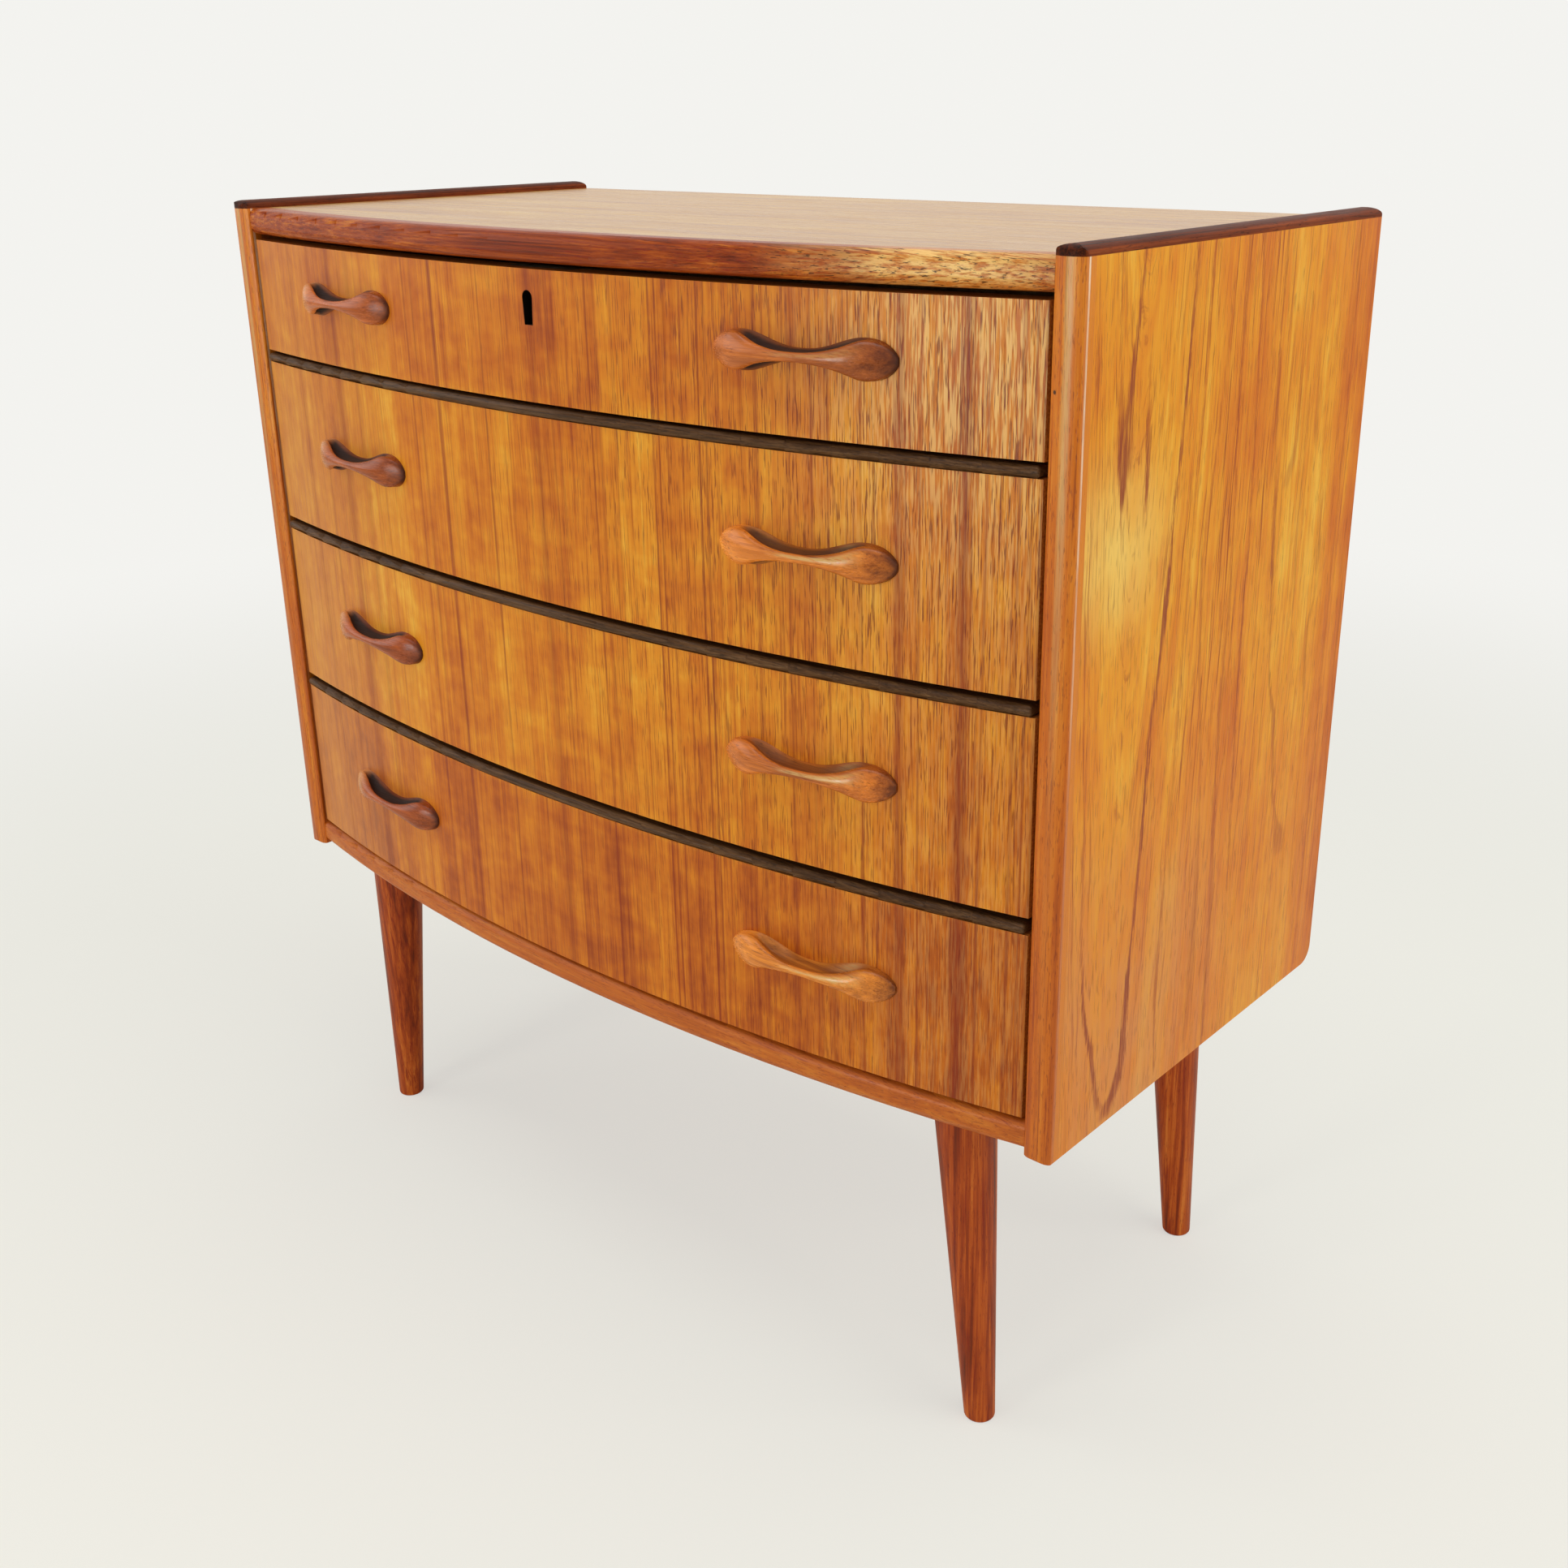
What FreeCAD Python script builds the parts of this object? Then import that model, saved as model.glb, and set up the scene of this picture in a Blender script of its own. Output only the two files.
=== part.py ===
import FreeCAD, Part
import math
import os

V = FreeCAD.Vector

# Case, in millimetres. While a piece is made, x = 0 is the middle of the case, y = 0 a plane just
# behind the rounded fronts of the sides, with +y to the back, and z = 0 the floor.
CASE_WIDTH = 740.0
CASE_DEPTH = 331.0
SIDE_HEIGHT = 508.0
SIDE_THICKNESS = 18.5
SIDE_LIFT = 234.0
SIDE_REAR_CORNER_RADIUS = 12.0
SIDE_FRONT_CORNER_RADIUS = 1.5
SIDE_NOSING_DEPTH = 9.0
SIDE_NOSING_REACH = 2.0
SIDE_NOSING_CORNER = 0.7
SIDE_ARRIS_RADIUS = 1.8
CAP_HEIGHT = 5.8
CAP_FLANK_HEIGHT = 1.4
CAP_END_ROUND_DEPTH = 6.5

# Top board and bottom board, between the sides
TOP_THICKNESS = 18.0
TOP_END_SETBACK = 0.9
TOP_SAG = 39.3
TOP_NOSING_DEPTH = 16.0
TOP_NOSING_ROUND = 6.0
BOTTOM_THICKNESS = 18.0
BOTTOM_RAISE = 2.0
RAIL_END_SETBACK = 1.0
RAIL_SAG = 36.5
RAIL_DEPTH = 16.0
RAIL_ROUND = 5.5

# Back board in its rabbets
BACK_THICKNESS = 5.0
RABBET_WIDTH = 8.0
BACK_FIT = 0.3
BACK_SCREW_LENGTH = 16.0
BACK_SCREW_END_INSET = 60.0
BACK_SCREWS_ALONG = 4
BACK_SCREWS_UP = 3

# Legs
LEG_TOP_RADIUS = 20.2
LEG_FOOT_RADIUS = 10.2
LEG_FOOT_ROUND = 2.0
LEG_SIDE_INSET = 80.0
LEG_SPLAY = 17.0
LEG_FRONT_INSET = 27.0
LEG_REAR_INSET = 48.0
TENON_RADIUS = 9.0
TENON_LENGTH = 14.0
TENON_FIT = 0.1

# Drawer fronts, from the top drawer down. The three lower ones share the height that is left.
TOP_FRONT_HEIGHT = 79.4
FRONT_THICKNESS = 19.0
FRONT_END_SETBACK = 2.6
FRONT_SAG = 37.7
FRONT_SIDE_GAP = 3.0
GAP_UNDER_TOP = 3.6
GAPS_OVER_LOWER_DRAWERS = (2.2, 3.4, 4.0)
GAP_OVER_RAIL = 2.7
STRIP_HEIGHT = 6.6
STRIP_PROUD = 1.6
STRIP_DEPTH = 14.0
STRIP_END_SHORT = 1.4
STRIP_END_ROUND = 1.5
STRIP_EDGE_ROUND = 3.1

# Drawer boxes
BOX_SIDE_THICKNESS = 10.0
BOX_BACK_THICKNESS = 10.0
BOX_BOTTOM_THICKNESS = 5.0
BOX_REAR_GAP = 14.4
BOX_SIDE_DROP = 9.0
BOX_SIDE_RISE = 5.0
BOX_BACK_DROP = 4.0
GROOVE_RISE = 8.0
GROOVE_DEPTH = 4.0
GROOVE_FIT = 0.15
TAIL_LAP = 5.5
TAIL_HEIGHT = 17.0
TAIL_FLARE = 1.6
TAIL_PIN_WIDTH = 8.0

# Runners on the sides of the case
RUNNER_HEIGHT = 10.0
RUNNER_BITE = 5.0
RUNNER_RUN_CLEARANCE = 0.3
RUNNER_TIP_CLEARANCE = 0.6
RUNNER_STOP_CLEARANCE = 0.8
RUNNER_BACK_GAP = 4.0
RUNNER_NOSE_ROUND = 3.0
RUNNER_SCREW_LENGTH = 17.0
RUNNER_SCREW_INSET = 45.0

# Handles: a bow-tie outline, scooped out above and below between its two lobes
HANDLE_LENGTH = 119.0
HANDLE_HEIGHT = 22.6
HANDLE_REACH = 14.0
HANDLE_SIDE_INSET = 161.5
HANDLE_RAISE_ON_TOP_DRAWER = 5.0
HANDLE_ROOT_OVERRUN = 3.0
HANDLE_SCREW_SPREAD = 42.0
HANDLE_SCREW_BITE = 8.0
# Stations from the middle of a handle (0) to its end (1), and the shares of half the height and
# of the reach that the outline, the neck, the crest and the ridge have there
HANDLE_STATION_SHARES = (0.0, 0.12, 0.24, 0.36, 0.48, 0.58, 0.68, 0.78, 0.87, 0.94, 0.98, 1.0)
ROOT_OUTLINE_SHARES = (0.3, 0.33, 0.45, 0.64, 0.84, 0.96, 1.0, 0.95, 0.8, 0.56, 0.34, 0.16)
NECK_OUTLINE_SHARES = (0.2, 0.2, 0.22, 0.28, 0.44, 0.68, 0.9, 0.92, 0.785, 0.55, 0.33, 0.155)
CREST_OUTLINE_SHARES = (0.23, 0.245, 0.3, 0.41, 0.58, 0.78, 0.93, 0.91, 0.76, 0.53, 0.32, 0.15)
CREST_REACH_SHARES = (0.84, 0.84, 0.8, 0.72, 0.58, 0.46, 0.38, 0.3, 0.23, 0.16, 0.1, 0.06)
RIDGE_REACH_SHARES = (1.0, 1.0, 1.0, 0.98, 0.94, 0.88, 0.78, 0.64, 0.46, 0.3, 0.19, 0.11)
NECK_PLACE_SHARE = 0.5
LOFT_DEGREE = 5
NOSE_REACH_SHARES = (0.45, 0.8, 0.95)

# Lock and keyhole in the top drawer
KEYHOLE_WIDTH = 9.0
KEYHOLE_FOOT_WIDTH = 7.4
KEYHOLE_HEIGHT = 20.6
KEYHOLE_DROP = 12.4
LOCK_WIDTH = 60.0
LOCK_HEIGHT = 40.0
LOCK_DEPTH = 11.0
LOCK_WALL = 1.6
LOCK_INSET = 9.5
LOCK_FLANGE = 8.0
LOCK_FIT = 0.1
LOCK_PIN_RADIUS = 1.6
LOCK_SCREW_LENGTH = 8.0
BOLT_WIDTH = 26.0
BOLT_THICKNESS = 5.0
BOLT_HEAD_HEIGHT = 9.0
BOLT_TAIL_THICKNESS = 2.0
BOLT_TAIL_HEIGHT = 30.0
BOLT_FIT = 0.3
BOLT_TRAVEL = 8.0
BOLT_WINDOW_WIDTH = 14.0
BOLT_WINDOW_HEIGHT = 18.0
MORTISE_MARGIN = 1.5
MORTISE_HEADROOM = 3.6

# Screws
SCREW_RADIUS = 1.75
SCREW_HEAD_RADIUS = 3.4
SCREW_HEAD_HEIGHT = 2.2
SCREW_SLOT_WIDTH = 0.8
SCREW_SLOT_DEPTH = 0.9
SCREW_FIT = 0.05

# One overrun for every cutting solid
CUT_OVERRUN = 10.0

# Worked out from the sizes above
HALF_WIDTH = CASE_WIDTH / 2
INNER_HALF = HALF_WIDTH - SIDE_THICKNESS
FRONT_HALF = INNER_HALF - FRONT_SIDE_GAP
SIDE_TOP = SIDE_LIFT + SIDE_HEIGHT
BOTTOM_LOW = SIDE_LIFT + BOTTOM_RAISE
BOTTOM_TOP = BOTTOM_LOW + BOTTOM_THICKNESS
TOP_LOW = SIDE_TOP - TOP_THICKNESS
TOP_FRONT_HIGH = TOP_LOW - GAP_UNDER_TOP
TOP_FRONT_LOW = TOP_FRONT_HIGH - TOP_FRONT_HEIGHT
LOWER_DRAWERS = len(GAPS_OVER_LOWER_DRAWERS)
LOWER_FRONTS_SPACE = TOP_FRONT_LOW - BOTTOM_TOP - GAP_OVER_RAIL
LOWER_GAPS = sum(GAPS_OVER_LOWER_DRAWERS) + LOWER_DRAWERS * STRIP_HEIGHT
LOWER_FRONT_HEIGHT = (LOWER_FRONTS_SPACE - LOWER_GAPS) / LOWER_DRAWERS
BOX_INNER_HALF = FRONT_HALF - BOX_SIDE_THICKNESS
BOX_BACK_FACE = CASE_DEPTH - BACK_THICKNESS - BOX_REAR_GAP
HANDLE_OFFSET = HALF_WIDTH - HANDLE_SIDE_INSET
LEG_SPREAD = HALF_WIDTH - LEG_SIDE_INSET
MORTISE_DEPTH = BOLT_TRAVEL - GAP_UNDER_TOP + MORTISE_HEADROOM


def box(x_low, x_high, y_low, y_high, z_low, z_high):
    return Part.makeBox(x_high - x_low, y_high - y_low, z_high - z_low, V(x_low, y_low, z_low))


def prism(points, rise):
    wire = Part.makePolygon(list(points) + [points[0]])
    return Part.Face(wire).extrude(rise)


def mirror_x(shape):
    return shape.mirror(V(0, 0, 0), V(1, 0, 0))


def joined(shapes):
    whole = shapes[0]
    for shape in shapes[1:]:
        whole = whole.fuse(shape)
    return whole.removeSplitter()


def group(shapes):
    return Part.makeCompound(shapes)


class Bow:
    """The curve of a bow front, seen from above: an arc with its ends on the case's sides."""

    def __init__(self, half_span, end_setback, sag):
        self.radius = (half_span ** 2 + sag ** 2) / (2 * sag)
        self.centre_y = end_setback - sag + self.radius

    def y_at(self, x, depth=0.0):
        radius = self.radius - depth
        return self.centre_y - math.sqrt(radius ** 2 - x ** 2)

    def column(self, z_low, z_high, depth=0.0):
        """Everything behind the curve at a depth, as one round column."""
        base = V(0, self.centre_y, z_low)
        return Part.makeCylinder(self.radius - depth, z_high - z_low, base)

    def board(self, half, y_back, z_low, z_high, depth=0.0):
        """A board whose front edge follows the curve and whose back edge is straight."""
        y_end = self.y_at(half, depth)
        arc = Part.Arc(V(-half, y_end, z_low), V(0, self.y_at(0, depth), z_low), V(half, y_end, z_low))
        corners = [V(half, y_end, z_low), V(half, y_back, z_low), V(-half, y_back, z_low)]
        lines = [Part.makeLine(a, b) for a, b in zip(corners, corners[1:])]
        lines.append(Part.makeLine(corners[-1], V(-half, y_end, z_low)))
        wire = Part.Wire([arc.toShape()] + lines)
        return Part.Face(wire).extrude(V(0, 0, z_high - z_low))

    def plate(self, half, thickness, z_low, z_high, depth=0.0):
        """A curved plate between the curve and a parallel curve behind it."""
        y_back = self.y_at(half, depth + thickness) + CUT_OVERRUN
        board = self.board(half, y_back, z_low, z_high, depth)
        return board.cut(self.column(z_low, z_high, depth + thickness))


TOP_BOW = Bow(INNER_HALF, TOP_END_SETBACK, TOP_SAG)
RAIL_BOW = Bow(INNER_HALF, RAIL_END_SETBACK, RAIL_SAG)
FRONT_BOW = Bow(INNER_HALF, FRONT_END_SETBACK, FRONT_SAG)


def screw(point, direction, length, fit=0.0):
    """A countersunk slotted wood screw, its head flush at the point, driven along the direction."""
    head = Part.makeCone(SCREW_HEAD_RADIUS + fit, SCREW_RADIUS + fit, SCREW_HEAD_HEIGHT, V(0, 0, 0))
    shank_length = length - SCREW_HEAD_HEIGHT - 2 * SCREW_RADIUS
    shank = Part.makeCylinder(SCREW_RADIUS + fit, shank_length + fit, V(0, 0, SCREW_HEAD_HEIGHT))
    tip_base = V(0, 0, SCREW_HEAD_HEIGHT + shank_length)
    tip = Part.makeCone(SCREW_RADIUS + fit, SCREW_RADIUS / 4, 2 * SCREW_RADIUS + fit, tip_base)
    body = joined([head, shank, tip])
    if not fit:
        half_slot = SCREW_SLOT_WIDTH / 2
        slot = box(-SCREW_HEAD_RADIUS, SCREW_HEAD_RADIUS, -half_slot, half_slot, 0, SCREW_SLOT_DEPTH)
        body = body.cut(slot)
    body.Placement = FreeCAD.Placement(point, FreeCAD.Rotation(V(0, 0, 1), direction))
    return body


def driven(pieces, places, direction, length):
    """Screws at the places, and the pieces with a hole for each."""
    holes = group([screw(place, direction, length, SCREW_FIT) for place in places])
    screws = [screw(place, direction, length) for place in places]
    return screws, [piece.cut(holes) for piece in pieces]


def side_outline():
    """The outline of a side seen from the side, with rounded corners at the bottom."""
    front, back, low, high = -SIDE_NOSING_REACH, CASE_DEPTH, SIDE_LIFT, SIDE_TOP
    r_front, r_rear = SIDE_FRONT_CORNER_RADIUS, SIDE_REAR_CORNER_RADIUS
    bite = 1 - math.sqrt(0.5)
    front_corner = Part.Arc(
        V(0, front, low + r_front),
        V(0, front + r_front * bite, low + r_front * bite),
        V(0, front + r_front, low),
    )
    rear_corner = Part.Arc(
        V(0, back - r_rear, low),
        V(0, back - r_rear * bite, low + r_rear * bite),
        V(0, back, low + r_rear),
    )
    edges = [
        front_corner.toShape(),
        Part.makeLine(V(0, front + r_front, low), V(0, back - r_rear, low)),
        rear_corner.toShape(),
        Part.makeLine(V(0, back, low + r_rear), V(0, back, high)),
        Part.makeLine(V(0, back, high), V(0, front, high)),
        Part.makeLine(V(0, front, high), V(0, front, low + r_front)),
    ]
    return Part.Face(Part.Wire(edges))


def side_column(z_low, z_high):
    """The right side's plan, drawn upward: a shallow arc in front with rounded arrises."""
    middle = (INNER_HALF + HALF_WIDTH) / 2
    corner = SIDE_NOSING_CORNER
    points = [
        V(INNER_HALF, corner, z_low),
        V(middle, -SIDE_NOSING_REACH, z_low),
        V(HALF_WIDTH, corner, z_low),
        V(HALF_WIDTH, CASE_DEPTH, z_low),
        V(INNER_HALF, CASE_DEPTH, z_low),
    ]
    arc = Part.Arc(*points[:3]).toShape()
    outline = points[2:] + points[:1]
    lines = [Part.makeLine(a, b) for a, b in zip(outline, outline[1:])]
    column = Part.Face(Part.Wire([arc] + lines)).extrude(V(0, 0, z_high - z_low))
    arrises = [
        edge
        for edge in column.Edges
        if all(abs(v.Y - corner) < SIDE_ARRIS_RADIUS / 2 for v in edge.Vertexes)
        and abs(edge.Vertexes[0].Z - edge.Vertexes[-1].Z) > CAP_HEIGHT / 2
    ]
    return column.makeFillet(SIDE_ARRIS_RADIUS, arrises)


def side_blank():
    """The right side of the case with its rounded front edge, before it is split in two."""
    board = side_outline().extrude(V(SIDE_THICKNESS, 0, 0))
    board.translate(V(INNER_HALF, 0, 0))
    return board.common(side_column(SIDE_LIFT, SIDE_TOP))


def back_recess(growth=0.0):
    half = INNER_HALF + RABBET_WIDTH + growth
    low = BOTTOM_TOP - RABBET_WIDTH - growth
    high = TOP_LOW + RABBET_WIDTH + growth
    return box(-half, half, CASE_DEPTH - BACK_THICKNESS, CASE_DEPTH, low, high)


def make_sides(nodes):
    blank = side_blank()
    split = box(INNER_HALF, HALF_WIDTH, -CUT_OVERRUN, SIDE_NOSING_DEPTH, SIDE_LIFT, SIDE_TOP)
    nosing = blank.common(split)
    panel = blank.cut(split).cut(back_recess(BACK_FIT))
    nodes["side_nosing_right"] = nosing
    nodes["side_nosing_left"] = mirror_x(nosing)
    nodes["side_panel_right"] = panel
    nodes["side_panel_left"] = mirror_x(panel)


def half_ellipse(start, end, rise):
    """An arch over the line between two points, and that line, as one closed face."""
    middle = (start + end) / 2
    crown = middle + rise
    across = (end - start).Length / 2
    if across > rise.Length:
        ellipse = Part.Ellipse(end, crown, middle)
        arch = Part.ArcOfEllipse(ellipse, 0, math.pi)
    else:
        ellipse = Part.Ellipse(crown, start, middle)
        arch = Part.ArcOfEllipse(ellipse, -math.pi / 2, math.pi / 2)
    return Part.Face(Part.Wire([arch.toShape(), Part.makeLine(start, end)]))


def make_caps(nodes):
    """Dark strips on top of the sides, arched across and rounded over at both ends."""
    arch_low = SIDE_TOP + CAP_FLANK_HEIGHT
    front = -SIDE_NOSING_REACH
    rise = V(0, 0, CAP_HEIGHT - CAP_FLANK_HEIGHT)
    arch = half_ellipse(V(INNER_HALF, front, arch_low), V(HALF_WIDTH, front, arch_low), rise)
    crown = arch.extrude(V(0, CASE_DEPTH - front, 0))
    flank = box(INNER_HALF, HALF_WIDTH, front, CASE_DEPTH, SIDE_TOP, arch_low)
    strip = joined([crown, flank]).common(side_column(SIDE_TOP, SIDE_TOP + CAP_HEIGHT))
    strip = strip.common(cap_side_view(front, arch_low))
    nodes["side_cap_right"] = strip
    nodes["side_cap_left"] = mirror_x(strip)


def cap_side_view(front, arch_low):
    """A cap's outline from the side, drawn across it: both ends rounded over."""
    top = SIDE_TOP + CAP_HEIGHT
    depth = CAP_END_ROUND_DEPTH
    rise = V(0, 0, top - arch_low)
    low = box(INNER_HALF, HALF_WIDTH, front, CASE_DEPTH, SIDE_TOP, arch_low)
    middle = box(INNER_HALF, HALF_WIDTH, front + depth, CASE_DEPTH - depth, arch_low, top)
    ends = [
        half_ellipse(V(INNER_HALF, y, arch_low), V(INNER_HALF, y + 2 * depth, arch_low), rise)
        for y in (front, CASE_DEPTH - 2 * depth)
    ]
    return joined([low, middle] + [end.extrude(V(SIDE_THICKNESS, 0, 0)) for end in ends])


def rounded_front(shape, front_y, radius, z_low, z_high):
    """A board with the two long edges of its bow front rounded over."""
    edges = []
    for edge in shape.Edges:
        middle = edge.valueAt((edge.FirstParameter + edge.LastParameter) / 2)
        level = min(abs(middle.z - z_low), abs(middle.z - z_high)) < radius / 2
        if level and abs(middle.y - front_y) < radius / 2:
            edges.append(edge)
    return shape.makeFillet(radius, edges)


def make_top(nodes):
    split = TOP_BOW.column(TOP_LOW, SIDE_TOP, TOP_NOSING_DEPTH)
    board = TOP_BOW.board(INNER_HALF, CASE_DEPTH, TOP_LOW, SIDE_TOP)
    mortise = lock_mortise()
    nosing = rounded_front(board.cut(split), TOP_BOW.y_at(0), TOP_NOSING_ROUND, TOP_LOW, SIDE_TOP)
    nodes["top_nosing"] = nosing.cut(mortise)
    nodes["top_panel"] = board.common(split).cut(mortise).cut(back_recess(BACK_FIT))


def make_bottom(nodes):
    split = RAIL_BOW.column(BOTTOM_LOW, BOTTOM_TOP, RAIL_DEPTH)
    board = RAIL_BOW.board(INNER_HALF, CASE_DEPTH, BOTTOM_LOW, BOTTOM_TOP)
    rail = rounded_front(board.cut(split), RAIL_BOW.y_at(0), RAIL_ROUND, BOTTOM_LOW, BOTTOM_TOP)
    panel = board.common(split).cut(back_recess(BACK_FIT))
    for place in leg_places():
        panel = panel.cut(leg_tenon(place, TENON_FIT))
    nodes["bottom_rail"] = rail
    nodes["bottom_panel"] = panel


def make_back(nodes):
    """The back board in its rabbets, screwed to the case all round."""
    back = back_recess()
    half = INNER_HALF + RABBET_WIDTH / 2
    low = BOTTOM_TOP - RABBET_WIDTH / 2
    high = TOP_LOW + RABBET_WIDTH / 2
    across = [
        -half + BACK_SCREW_END_INSET + i * 2 * (half - BACK_SCREW_END_INSET) / (BACK_SCREWS_ALONG - 1)
        for i in range(BACK_SCREWS_ALONG)
    ]
    upward = [
        low + BACK_SCREW_END_INSET + i * (high - low - 2 * BACK_SCREW_END_INSET) / (BACK_SCREWS_UP - 1)
        for i in range(BACK_SCREWS_UP)
    ]
    places = [V(x, CASE_DEPTH, z) for x in across for z in (low, high)]
    places += [V(x, CASE_DEPTH, z) for z in upward for x in (-half, half)]
    names = ["side_panel_left", "side_panel_right", "top_panel", "bottom_panel"]
    pieces = [back] + [nodes[name] for name in names]
    screws, cut = driven(pieces, places, V(0, -1, 0), BACK_SCREW_LENGTH)
    nodes["back_panel"] = cut[0]
    nodes.update(zip(names, cut[1:]))
    nodes["back_screws"] = group(screws)


def leg_places():
    """Name, side (-1 left, 1 right) and distance from the front of each leg."""
    rear = CASE_DEPTH - LEG_REAR_INSET
    return [
        ("leg_front_left", -1, LEG_FRONT_INSET),
        ("leg_front_right", 1, LEG_FRONT_INSET),
        ("leg_rear_left", -1, rear),
        ("leg_rear_right", 1, rear),
    ]


def leg_axis(place):
    """The middle of a leg's top, and the direction from there down to the foot."""
    _, side, y = place
    top = V(side * LEG_SPREAD, y, BOTTOM_LOW)
    return top, V(side * LEG_SPLAY, 0, -BOTTOM_LOW)


def leg_tenon(place, fit=0.0):
    top, down = leg_axis(place)
    up = V(-down.x, -down.y, -down.z).normalize()
    root = top - up * TENON_RADIUS
    return Part.makeCylinder(TENON_RADIUS + fit, TENON_RADIUS + TENON_LENGTH + fit, root, up)


def make_leg(place):
    """A turned, splayed taper, cut level under the case and on the floor."""
    top, down = leg_axis(place)
    unit = V(down.x, down.y, down.z).normalize()
    slope = (LEG_TOP_RADIUS - LEG_FOOT_RADIUS) / down.Length
    top_radius = LEG_TOP_RADIUS + slope * LEG_TOP_RADIUS
    foot_radius = LEG_FOOT_RADIUS - slope * LEG_FOOT_RADIUS
    length = down.Length + LEG_TOP_RADIUS + LEG_FOOT_RADIUS
    taper = Part.makeCone(top_radius, foot_radius, length, top - unit * LEG_TOP_RADIUS, unit)
    reach = LEG_SPREAD + LEG_SPLAY + LEG_TOP_RADIUS
    leg = taper.common(box(-reach, reach, -CASE_DEPTH, 2 * CASE_DEPTH, 0, BOTTOM_LOW))
    foot_edges = [e for e in leg.Edges if max(abs(v.Z) for v in e.Vertexes) < LEG_FOOT_ROUND]
    leg = leg.makeFillet(LEG_FOOT_ROUND, foot_edges)
    return joined([leg, leg_tenon(place)])


def make_legs(nodes):
    for place in leg_places():
        nodes[place[0]] = make_leg(place)


def drawer_levels():
    """Lower and upper edge of each drawer's front, from the top drawer down."""
    levels = [(TOP_FRONT_LOW, TOP_FRONT_HIGH)]
    for gap in GAPS_OVER_LOWER_DRAWERS:
        high = levels[-1][0] - gap - STRIP_HEIGHT
        levels.append((high - LOWER_FRONT_HEIGHT, high))
    return levels


def tail(x_low, x_high, y_root, y_end, z_middle):
    """One dovetail: a block that widens towards its end."""
    narrow = TAIL_HEIGHT / 2 - TAIL_FLARE
    wide = TAIL_HEIGHT / 2
    points = [
        V(x_low, y_root, z_middle - narrow),
        V(x_low, y_end, z_middle - wide),
        V(x_low, y_end, z_middle + wide),
        V(x_low, y_root, z_middle + narrow),
    ]
    return prism(points, V(x_high - x_low, 0, 0))


def tails(x_low, x_high, y_root, y_end, z_low, z_high):
    """As many dovetails as fit up the height of a drawer's side, evenly spread."""
    count = int((z_high - z_low) / (TAIL_HEIGHT + TAIL_PIN_WIDTH))
    pitch = (z_high - z_low) / count
    middles = [z_low + pitch / 2 + pitch * i for i in range(count)]
    return [tail(x_low, x_high, y_root, y_end, z) for z in middles]


def box_levels(low, high):
    """Lower and upper edge of a drawer's sides."""
    return low + BOX_SIDE_RISE, high - BOX_SIDE_DROP


def runner_level(low, high):
    side_low, side_high = box_levels(low, high)
    return (side_low + side_high) / 2


def bottom_board(low, grow=0.0):
    """A drawer's bottom, held in grooves in the sides and the front, under the back."""
    z_low = low + BOX_SIDE_RISE + GROOVE_RISE
    edge = GROOVE_DEPTH + grow
    depth = FRONT_THICKNESS - edge
    half = BOX_INNER_HALF + edge
    z_high = z_low + BOX_BOTTOM_THICKNESS
    return FRONT_BOW.board(half, BOX_BACK_FACE + grow, z_low - grow, z_high + grow, depth)


def runner_groove(low, high):
    """The space that the right runner needs in a drawer's side, open at the back."""
    half = RUNNER_HEIGHT / 2 + RUNNER_RUN_CLEARANCE
    level = runner_level(low, high)
    deep = FRONT_HALF - RUNNER_BITE - RUNNER_TIP_CLEARANCE
    y_front = FRONT_BOW.y_at(deep, FRONT_THICKNESS)
    return box(
        deep, FRONT_HALF + CUT_OVERRUN, y_front, BOX_BACK_FACE + CUT_OVERRUN, level - half, level + half
    )


def make_drawer_box(nodes, name, low, high):
    """Front, sides, back and bottom of one drawer."""
    side_low, side_high = box_levels(low, high)
    front = FRONT_BOW.plate(FRONT_HALF, FRONT_THICKNESS, low, high)
    back_front_face = BOX_BACK_FACE - BOX_BACK_THICKNESS
    lap_y = FRONT_END_SETBACK + TAIL_LAP
    groove = runner_groove(low, high)
    blank = box(BOX_INNER_HALF, FRONT_HALF, lap_y, back_front_face, side_low, side_high)
    root_y = FRONT_BOW.y_at(FRONT_HALF, FRONT_THICKNESS)
    front_tails = tails(BOX_INNER_HALF, FRONT_HALF, root_y, lap_y, side_low, side_high)
    back_tails = tails(BOX_INNER_HALF, FRONT_HALF, back_front_face, BOX_BACK_FACE, side_low, side_high)
    side = joined([blank.cut(front)] + [t.common(front) for t in front_tails] + back_tails)
    left_side = mirror_x(side)
    back_top = side_high - BOX_BACK_DROP
    back_low = side_low + GROOVE_RISE + BOX_BOTTOM_THICKNESS
    back = box(-FRONT_HALF, FRONT_HALF, back_front_face, BOX_BACK_FACE, back_low, back_top)
    bottom_space = bottom_board(low, GROOVE_FIT)
    grooves = group([groove, mirror_x(groove)])
    nodes[name + "_front"] = front.cut(side).cut(left_side).cut(bottom_space)
    nodes[name + "_side_right"] = side.cut(groove).cut(bottom_space)
    nodes[name + "_side_left"] = mirror_x(nodes[name + "_side_right"])
    nodes[name + "_back"] = back.cut(side).cut(left_side).cut(grooves)
    nodes[name + "_bottom"] = bottom_board(low)


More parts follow.
